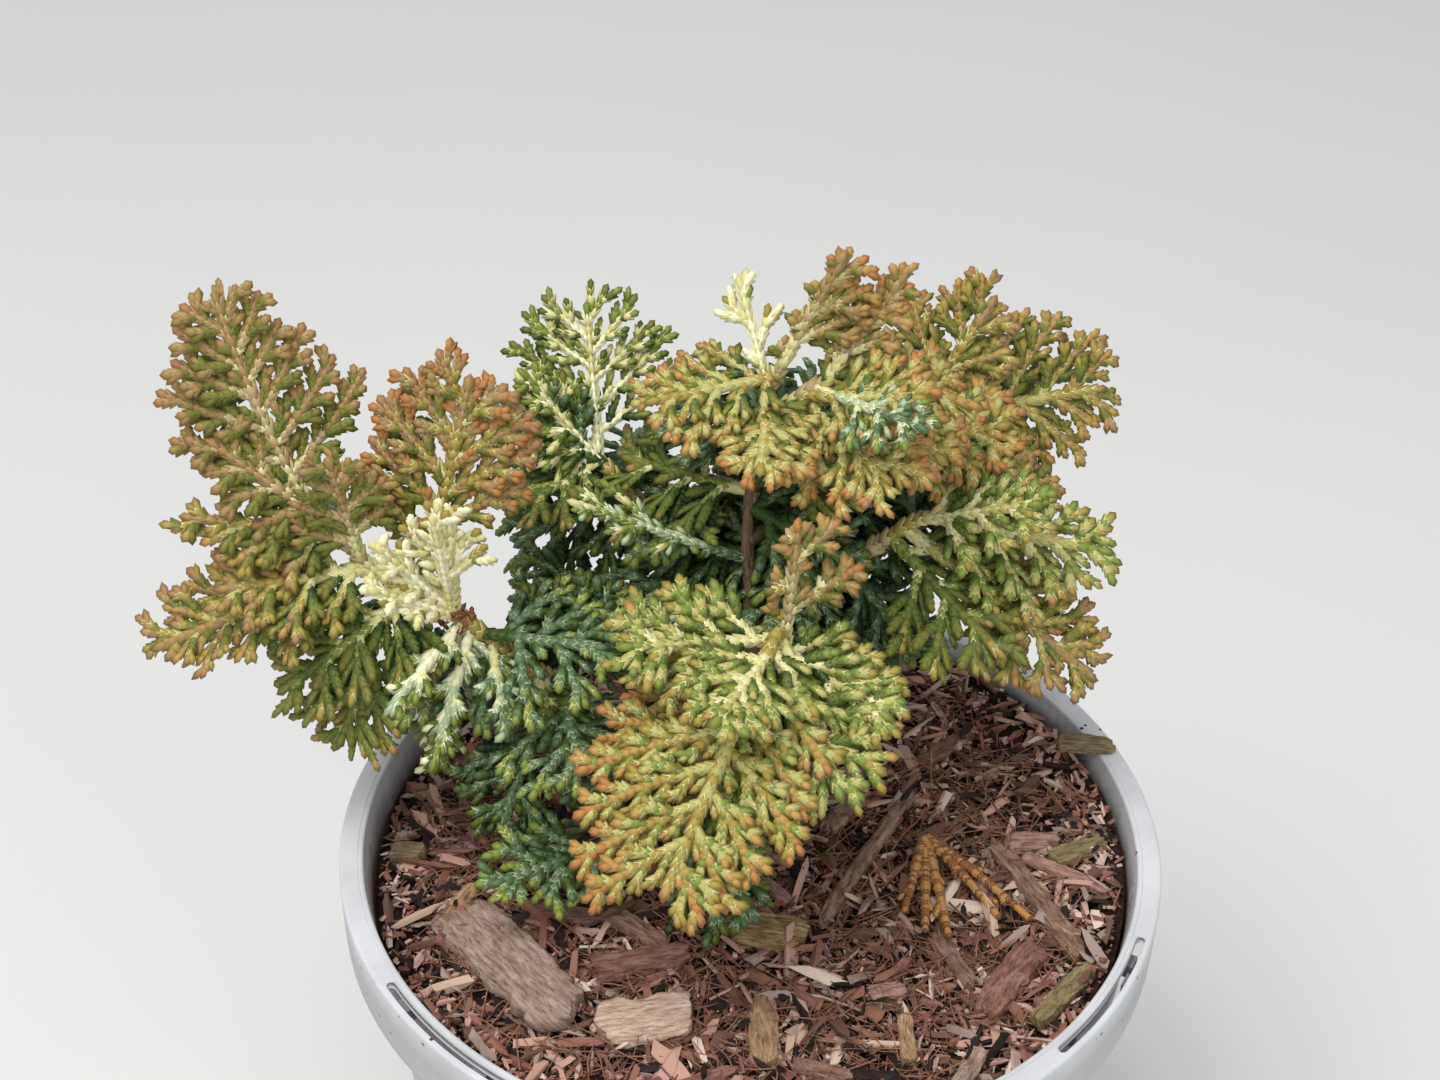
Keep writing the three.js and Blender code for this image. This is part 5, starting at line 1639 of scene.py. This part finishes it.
# Powers that set a chip's rings closer at its ends and make its outline blunt and its section a rounded bar.
# Then the layers of noise that tear its sides and furrow its faces, each with its depth and its stretch, and
# how deep the furrows and the ragged ends are
END_POWER = 0.8
BLUNT_POWER = 9
BAR_POWERS = (0.35, 0.4)
TEARS = ((0.16, (1.6, 0, 1)), (0.07, (6, 1, 1)))
FURROWS = ((0.6, (0.5, 1.7, 1)), (0.4, (1.2, 4.2, 1)))
RAGGED_DEPTH = 1.4
FURROW_DEPTH = 0.34
CHIP_NARROWING = 0.16
CHIP_SKEW = 0.35
CHIP_BOW = 0.05


def layered(start, spot, layers, seed):
    """A start value with layers of noise on it, each stretched and as deep as its row says."""
    return sum((depth * noise(spot * by, 1.0, seed + i) for i, (depth, by) in enumerate(layers)), start)


def chip_surface(size, seed, rows=56, columns=28):
    """A chip of bark: rings along its length. The width is a blunt oval with a torn edge, the section a
    flat rounded bar, and both faces have furrows from noise stretched along the length. Its own length is
    the U axis."""
    length, width, thick = size
    rng = np.random.default_rng(seed)
    s = np.linspace(-1, 1, rows)
    s = np.sign(s) * np.abs(s) ** END_POWER
    turn = round_angles(columns)
    oval = np.clip(1 - np.abs(s) ** BLUNT_POWER, 0.03, 1) ** 0.5
    oval = oval * (1 - CHIP_NARROWING * rng.random() * (s + 1) / 2)
    x = s[:, None] * length / 2 + 0 * turn
    c, w = np.cos(turn), np.sin(turn)
    bar_y = np.sign(c) * np.abs(c) ** BAR_POWERS[0]
    bar_z = np.sign(w) * np.abs(w) ** BAR_POWERS[1]
    spot = np.stack([x * 0.35, bar_y * width / 2 + 0 * x, bar_z * 3 + 0 * x], -1)
    y = bar_y * oval[:, None] * width / 2 * layered(1.0, spot, TEARS, seed)
    ragged = noise(np.stack([y * 1.6, 0 * y, np.sign(s)[:, None] * 9 + 0 * y], -1), 1.0, seed + 2)
    skew = rng.uniform(-CHIP_SKEW, CHIP_SKEW) * y * np.sign(s)[:, None]
    x = x + (ragged * min(RAGGED_DEPTH, 0.1 * length) + skew) * np.abs(s[:, None]) ** 8
    furrow = layered(0.0, spot, FURROWS, seed + 3)
    z = bar_z * thick / 2 * (0.75 + 0.25 * oval[:, None]) * (1 + FURROW_DEPTH * furrow)
    z = z + rng.uniform(-0.5, 0.5) * CHIP_BOW * length * (s[:, None] ** 2 - 0.3)
    vertices, faces = capped_tube(np.stack([x, y, z], -1))
    u = vertices[:, 0] / 10 + seed * 0.37
    uv = np.stack([u, vertices[:, 1] / 10 + vertices[:, 2] / 14 + seed * 0.19], -1)
    return vertices, faces, uv


def laid_chip(place, size, turn, tilt, height, seed):
    """A chip turned and tilted, then moved to its place."""
    vertices, faces, uv = chip_surface(size, seed)
    axes = turned_axes(np.radians([turn]), np.radians([tilt]), arr(0.0))[0]
    return vertices @ axes + (*place, height), faces, uv


def chip_finish(name, tones):
    """Weathered bark or split wood: long streaks of three colours along the U axis, and a fibrous bump."""
    middle, dark, light = (linear(*tone) for tone in tones)
    finish = Finish("bark_" + name, Specular_IOR_Level=0.3)
    streak = finish.noise(finish.place((3.6, 17, 1), "UV"), 1.0, 6, 0.72)
    patch = finish.noise(finish.place((3, 5, 1), "UV"), 1.0, 4, 0.6)
    base = finish.blend(patch.ramp(0.35, 0.65), middle, light)
    finish.colour(finish.blend(streak.ramp(0.36, 0.56), dark, base))
    finish.rough(0.68 + patch * 0.25)
    finish.bump(streak + finish.noise(finish.place((12, 40, 1), "UV"), 1.0, 3, 0.6) * 0.7, 0.0005)
    return finish.material


# Fallen dead sprig

SPRIG_HEAD = (28.5, 3.4)
SPRIG_ENDS = ((24.2, -12.6), (27.2, -17), (30.8, -18), (39, -13.7), (44, -14))
SPRIG_HEIGHT = 1.2
SPRIG_ARCH = 1.4
SPRIG_SCALE = 0.55
SPRIG_WIDTHS = (1.0, 0.6)
SPRIG_LOBES = 2
SPRIG_LOBE_PLACES = (0.35, 0.3, 0.1)
SPRIG_LOBE_WIDTHS = (0.7, 0.45)
SPRIG_LOBE_LENGTHS = (1.8, 3.4)
SPRIG_LOBE_DROP = 0.3
DEAD_PITCH = 1.0
DEAD_TWIG_RADIUS = 0.3
DEAD_TWIG_COLOUR = (120, 78, 46)
TUFT_SCALES = 22
TUFT_LENGTHS = (1.4, 2.8)


def dead_sprig(strips):
    """Five fingers fan out from the head in a low arch, each with a few short side lobes."""
    rng = np.random.default_rng(SPRIG_SEED)
    height = BED_TOP + SPRIG_HEIGHT
    head = arr(*SPRIG_HEAD, height + 1)
    run = RUNS.index("dead")
    face = arr(0, 0, 1)
    for i, place in enumerate(SPRIG_ENDS):
        end = arr(*place, height)
        middle = (head + end) / 2 + (0, 0, SPRIG_ARCH)
        strips.add(head, middle, end, face, SPRIG_WIDTHS, 0.5, (0.1, 0.9), run, SPRIG_SCALE, SHOOT)
        for k in range(SPRIG_LOBES):
            t = SPRIG_LOBE_PLACES[0] + SPRIG_LOBE_PLACES[1] * k + SPRIG_LOBE_PLACES[2] * rng.random()
            g, h = along(head, middle, end, t), heading(head, middle, end, t)
            s = unit(np.cross(face, h)) * by_turns(k + i)
            tip = g + (h * 0.85 + s * 0.5) * rng.uniform(*SPRIG_LOBE_LENGTHS) - (0, 0, SPRIG_LOBE_DROP)
            widths = SPRIG_LOBE_WIDTHS
            strips.add(g, (g + tip) / 2, tip, face, widths, 0.4, (0.3, 0.9), run, SPRIG_SCALE, LOBE)


def dead_tuft(strips):
    """Dry rust-brown scales that still cling to the fork of the left bough."""
    rng = np.random.default_rng(TUFT_SEED)
    middle = cubic(LIMBS["left"], 0.97)
    run = RUNS.index("tuft")
    for _ in range(TUFT_SCALES):
        way = unit(rng.normal(0, 1, 3) + (0, -0.5, 0.4)) * rng.uniform(*TUFT_LENGTHS)
        root = middle + rng.normal(0, 1.0, 3) * (1.4, 0.5, 0.6)
        strips.add(root, root + way * 0.5, root + way, (0.2, -0.9, 0.3), (0.5, 0.4), 0.3, (0.1, 0.7), run, 1,
                   LOBE)


# Operators


class Builder(bpy.types.Operator):
    """What the operators share: each builds its pieces in build"""

    bl_options = {"REGISTER", "UNDO"}

    def execute(self, context):
        self.build(context.scene)
        return {"FINISHED"}


class CONIFER_OT_pot(Builder):
    """Builds the nursery pot with its slotted rim, its grip blocks and its drain holes"""

    bl_idname = "conifer.pot"
    bl_label = "Build pot"

    def build(self, scene):
        sizes = scene.conifer_pot
        wall, flange, skirt = (v * 1000 for v in (sizes.wall, sizes.flange, sizes.skirt))
        vertices, faces = pot_surface(wall, flange, skirt)
        pot = new_piece("pot_shell", vertices, faces, pot_finish(tuple(sizes.colour)), ("pot",))
        drained(pot)
        vertices, faces = slot_blocks(wall)
        new_piece("slot_blocks", vertices, faces, painted_shade_block_finish(), smooth=False)


class CONIFER_OT_wood(Builder):
    """Builds the trunk and the boughs with the relief of their bark"""

    bl_idname = "conifer.wood"
    bl_label = "Build trunk and boughs"

    def build(self, scene):
        settings = scene.conifer_wood
        relief = settings.relief * 1000
        material = wood_finish(tuple(settings.colour))
        points = cubic(LIMBS["trunk"], np.linspace(TRUNK_START, 1, TRUNK_GRID[0]))
        vertices, faces = capped_tube(limb_skin(points, trunk_radius, relief, TRUNK_GRID[1], TRUNK_SEED))
        vertices[:, 2] = np.maximum(vertices[:, 2], BED_TOP - 1.5)
        new_piece("trunk_bark", vertices, faces, material, ("trunk",))
        for i, (name, (_, _, _, (thick, thin))) in enumerate(BOUGHS.items()):
            points = cubic(LIMBS[name], np.linspace(0, 1, BOUGH_GRID[0]))

            def radius(t, angle):
                return (thick + (thin - thick) * t)[:, None] + 0 * angle[None]

            vertices, faces = capped_tube(limb_skin(points, radius, relief, BOUGH_GRID[1], BOUGH_SEED + i))
            new_piece(f"bough_{name}_bark", vertices, faces, material, (f"bough_{name}",))


class CONIFER_OT_foliage(Builder):
    """Grows the sprays from the limbs by the solids' rule and lays scale leaves along every twig"""

    bl_idname = "conifer.foliage"
    bl_label = "Grow foliage"

    def build(self, scene):
        sizes = scene.conifer_foliage
        width, pitch = sizes.finger_width * 1000, sizes.finger_pitch * 1000
        strips = Strips()
        for i, (name, own) in enumerate(SPRAYS.items()):
            solid = solid_points("spray_" + name)
            grow_spray(strips, {**SPRAY, **own}, FIRST_SEED + 7 * i, width, pitch, solid)
        for i, own in enumerate(FILLING):
            grow_spray(strips, {**SMALL_SPRAY, **own}, FILLING_SEED + 7 * i, width, pitch)
        grow_undergrowth(strips, width, pitch)
        cover_limbs(strips)
        dead_tuft(strips)
        rows = strips.array()
        rows = rows[rows[:, KIND] != LOBE]
        thick = np.array(TWIG_RADII)[rows[:, KIND].astype(int)]
        vertices, faces = twig_tubes(rows, np.stack([thick, thick * 0.6], -1), 3)
        nodes = ["spray_" + name for name in SPRAYS]
        new_piece("spray_twigs", vertices, faces, twig_finish(), nodes)
        if not leaf_pieces("leaves", scale_leaves(strips, sizes.scale_length * 1000, LEAF_SEED)):
            raise RuntimeError("no leaves were grown")


class CONIFER_OT_bark(Builder):
    """Builds the bark bed: its ground, shreds and fibres"""

    bl_idname = "conifer.bark"
    bl_label = "Build bark bed"

    def build(self, scene):
        settings = scene.conifer_bark
        vertices, faces = ground_surface()
        ground = ground_finish(tuple(settings.colour))
        new_piece("bark_ground", vertices, faces, ground, ("bark_bed",))
        for name, parts in shreds(settings.shreds).items():
            vertices, faces = joined(parts)
            material = plain_bark("shred_" + name, SHRED_COLOURS[name][0])
            new_piece("shreds_" + name, vertices, faces, material, smooth=False)
        vertices, faces = fibres(settings.fibres)
        new_piece("bark_fibres", vertices, faces, plain_bark("fibre", FIBRE_COLOUR))


class CONIFER_OT_chips(Builder):
    """Lays the larger chips and sticks of bark on the bed and on the rim"""

    bl_idname = "conifer.chips"
    bl_label = "Lay chips"

    def build(self, scene):
        finishes = {name: chip_finish(name, tones) for name, tones in CHIP_TONES.items()}

        def lay(name, chip, height, seed, replaced=()):
            vertices, faces, uv = laid_chip(*chip[:4], height, seed)
            new_piece(name, vertices, faces, finishes[chip[4]], replaced, uv=uv)

        for i, (name, chip) in enumerate(CHIPS.items()):
            lay(name + "_bark", chip, BED_TOP + 0.2, CHIP_SEED + i, (name,))
        lay("chip_on_rim_bark", RIM_CHIP, RIM_CHIP[1][2] / 2 + 0.3, RIM_CHIP_SEED, ("chip_on_rim",))
        for i, chip in enumerate(LOOSE_CHIPS):
            lay(f"loose_chip_{i + 1}", chip, BED_TOP - 0.1 + heap(*chip[0]), LOOSE_CHIP_SEED + i)


class CONIFER_OT_sprig(Builder):
    """Lays the dead sprig on the bark"""

    bl_idname = "conifer.sprig"
    bl_label = "Lay dead sprig"

    def build(self, scene):
        strips = Strips()
        dead_sprig(strips)
        rows = strips.array()
        thick = np.full(len(rows), DEAD_TWIG_RADIUS)
        vertices, faces = twig_tubes(rows, np.stack([thick, thick * 0.5], -1), 6)
        bare = plain_bark("dead_twig", DEAD_TWIG_COLOUR)
        new_piece("dead_twigs", vertices, faces, bare, ("fallen_sprig",))
        if not leaf_pieces("dead", scale_leaves(strips, DEAD_PITCH, DEAD_LEAF_SEED)):
            raise RuntimeError("the dead sprig has no scales")


# Stage

SKY_COLOUR = (0.95, 0.975, 1.0)
SKY_STRENGTH = 0.55
FLOOR_RADIUS = 3
FLOOR_CORNERS = 96
# Each light: its place, its size, its share of the power, and its colour
LIGHTS = {
    "sky_light": ((-0.35, -0.25, 1.2), 0.9, 1, (1.0, 0.98, 0.95)),
    "front_light": ((0.5, -0.9, 0.6), 0.8, 0.25, (0.95, 0.98, 1.0)),
}
AIM = (0, 0, 0.13)
# The photograph's camera: millimetres from the rim's middle, degrees, and the focal length in its pixels
CAMERA_PLACE = (-5.6, -253.3, 236.0)
CAMERA_PITCH = 35.4
CAMERA_ROLL = -0.96
FOCAL_PIXELS = 2148.0
PICTURE_WIDTH = 1440
SENSOR = 36.0


def add_light(name, place, size, power, colour):
    """A round area light turned to the aim."""
    light = bpy.data.lights.new(name, "AREA")
    light.shape = "DISK"
    light.size = size
    light.energy = power
    light.color = colour
    lamp = linked(name, light)
    lamp.location = place
    aim = Vector(AIM) - lamp.location
    lamp.rotation_euler = aim.to_track_quat("-Z", "Y").to_euler()


class CONIFER_OT_stage(Builder):
    """Sets out the floor, the soft light and the camera at the photograph's angle"""

    bl_idname = "conifer.stage"
    bl_label = "Set stage"

    def build(self, scene):
        settings = scene.conifer_stage
        mesh = bpy.data.meshes.new("floor")
        mesh.from_pydata(circle(FLOOR_RADIUS, FLOOR_CORNERS), [], [tuple(range(FLOOR_CORNERS))])
        finish = Finish("pale_floor", Roughness=0.8, Specular_IOR_Level=0.2)
        tone = finish.noise(finish.place(), 6, 3)
        floor = tuple(settings.floor_colour)
        finish.colour(finish.blend(tone, floor, darker(floor, 0.96)))
        mesh.materials.append(finish.material)
        linked("floor", mesh)
        world = bpy.data.worlds.new("soft_sky")
        world.use_nodes = True
        background = world.node_tree.nodes["Background"].inputs
        background["Color"].default_value = (*SKY_COLOUR, 1)
        background["Strength"].default_value = SKY_STRENGTH
        scene.world = world
        scene.view_settings.view_transform = "Standard"
        for name, (place, size, share, colour) in LIGHTS.items():
            add_light(name, place, size, settings.light * share, colour)
        self.add_camera(scene)

    def add_camera(self, scene):
        """The camera's axes from its pitch and roll: right, up, and back along the line of sight."""
        pitch, roll = np.radians(CAMERA_PITCH), np.radians(CAMERA_ROLL)
        ahead = arr(0, np.cos(pitch), -np.sin(pitch))
        below = arr(0, -np.sin(pitch), -np.cos(pitch))
        right = np.cos(roll) * arr(1, 0, 0) + np.sin(roll) * below
        down = -np.sin(roll) * arr(1, 0, 0) + np.cos(roll) * below
        camera = bpy.data.cameras.new("camera")
        camera.sensor_width = SENSOR
        camera.lens = FOCAL_PIXELS / PICTURE_WIDTH * SENSOR
        camera.clip_start = 0.01
        holder = linked("camera", camera)
        turn = Matrix(np.stack([right, -down, -ahead], 1)).to_4x4()
        place = Vector((arr(*CAMERA_PLACE) + (0, 0, RIM_HEIGHT)) / 1000)
        holder.matrix_world = Matrix.Translation(place) @ turn
        scene.camera = holder


SETTINGS = {
    "conifer_pot": PotSettings,
    "conifer_bark": BarkSettings,
    "conifer_foliage": FoliageSettings,
    "conifer_wood": WoodSettings,
    "conifer_stage": StageSettings,
}
OPERATORS = (
    CONIFER_OT_pot,
    CONIFER_OT_wood,
    CONIFER_OT_bark,
    CONIFER_OT_chips,
    CONIFER_OT_sprig,
    CONIFER_OT_foliage,
    CONIFER_OT_stage,
)


class CONIFER_PT_panel(bpy.types.Panel):
    """Lists the pieces of the potted conifer"""

    bl_idname = "CONIFER_PT_panel"
    bl_label = "Potted conifer"
    bl_space_type = "VIEW_3D"
    bl_region_type = "UI"
    bl_category = "Conifer"

    def draw(self, context):
        for operator in OPERATORS:
            self.layout.operator(operator.bl_idname)
        for name, group in SETTINGS.items():
            box = self.layout.box()
            for key in group.__annotations__:
                box.prop(getattr(context.scene, name), key)


def register():
    for group in SETTINGS.values():
        bpy.utils.register_class(group)
    for operator in OPERATORS:
        bpy.utils.register_class(operator)
    bpy.utils.register_class(CONIFER_PT_panel)
    for name, group in SETTINGS.items():
        setattr(bpy.types.Scene, name, bpy.props.PointerProperty(type=group))


def unregister():
    for name in SETTINGS:
        delattr(bpy.types.Scene, name)
    bpy.utils.unregister_class(CONIFER_PT_panel)
    for operator in reversed(OPERATORS):
        bpy.utils.unregister_class(operator)
    for group in reversed(SETTINGS.values()):
        bpy.utils.unregister_class(group)


def main():
    register()
    for operator in OPERATORS:
        group, name = operator.bl_idname.split(".")
        getattr(getattr(bpy.ops, group), name)()


if __name__ == "__main__":
    main()
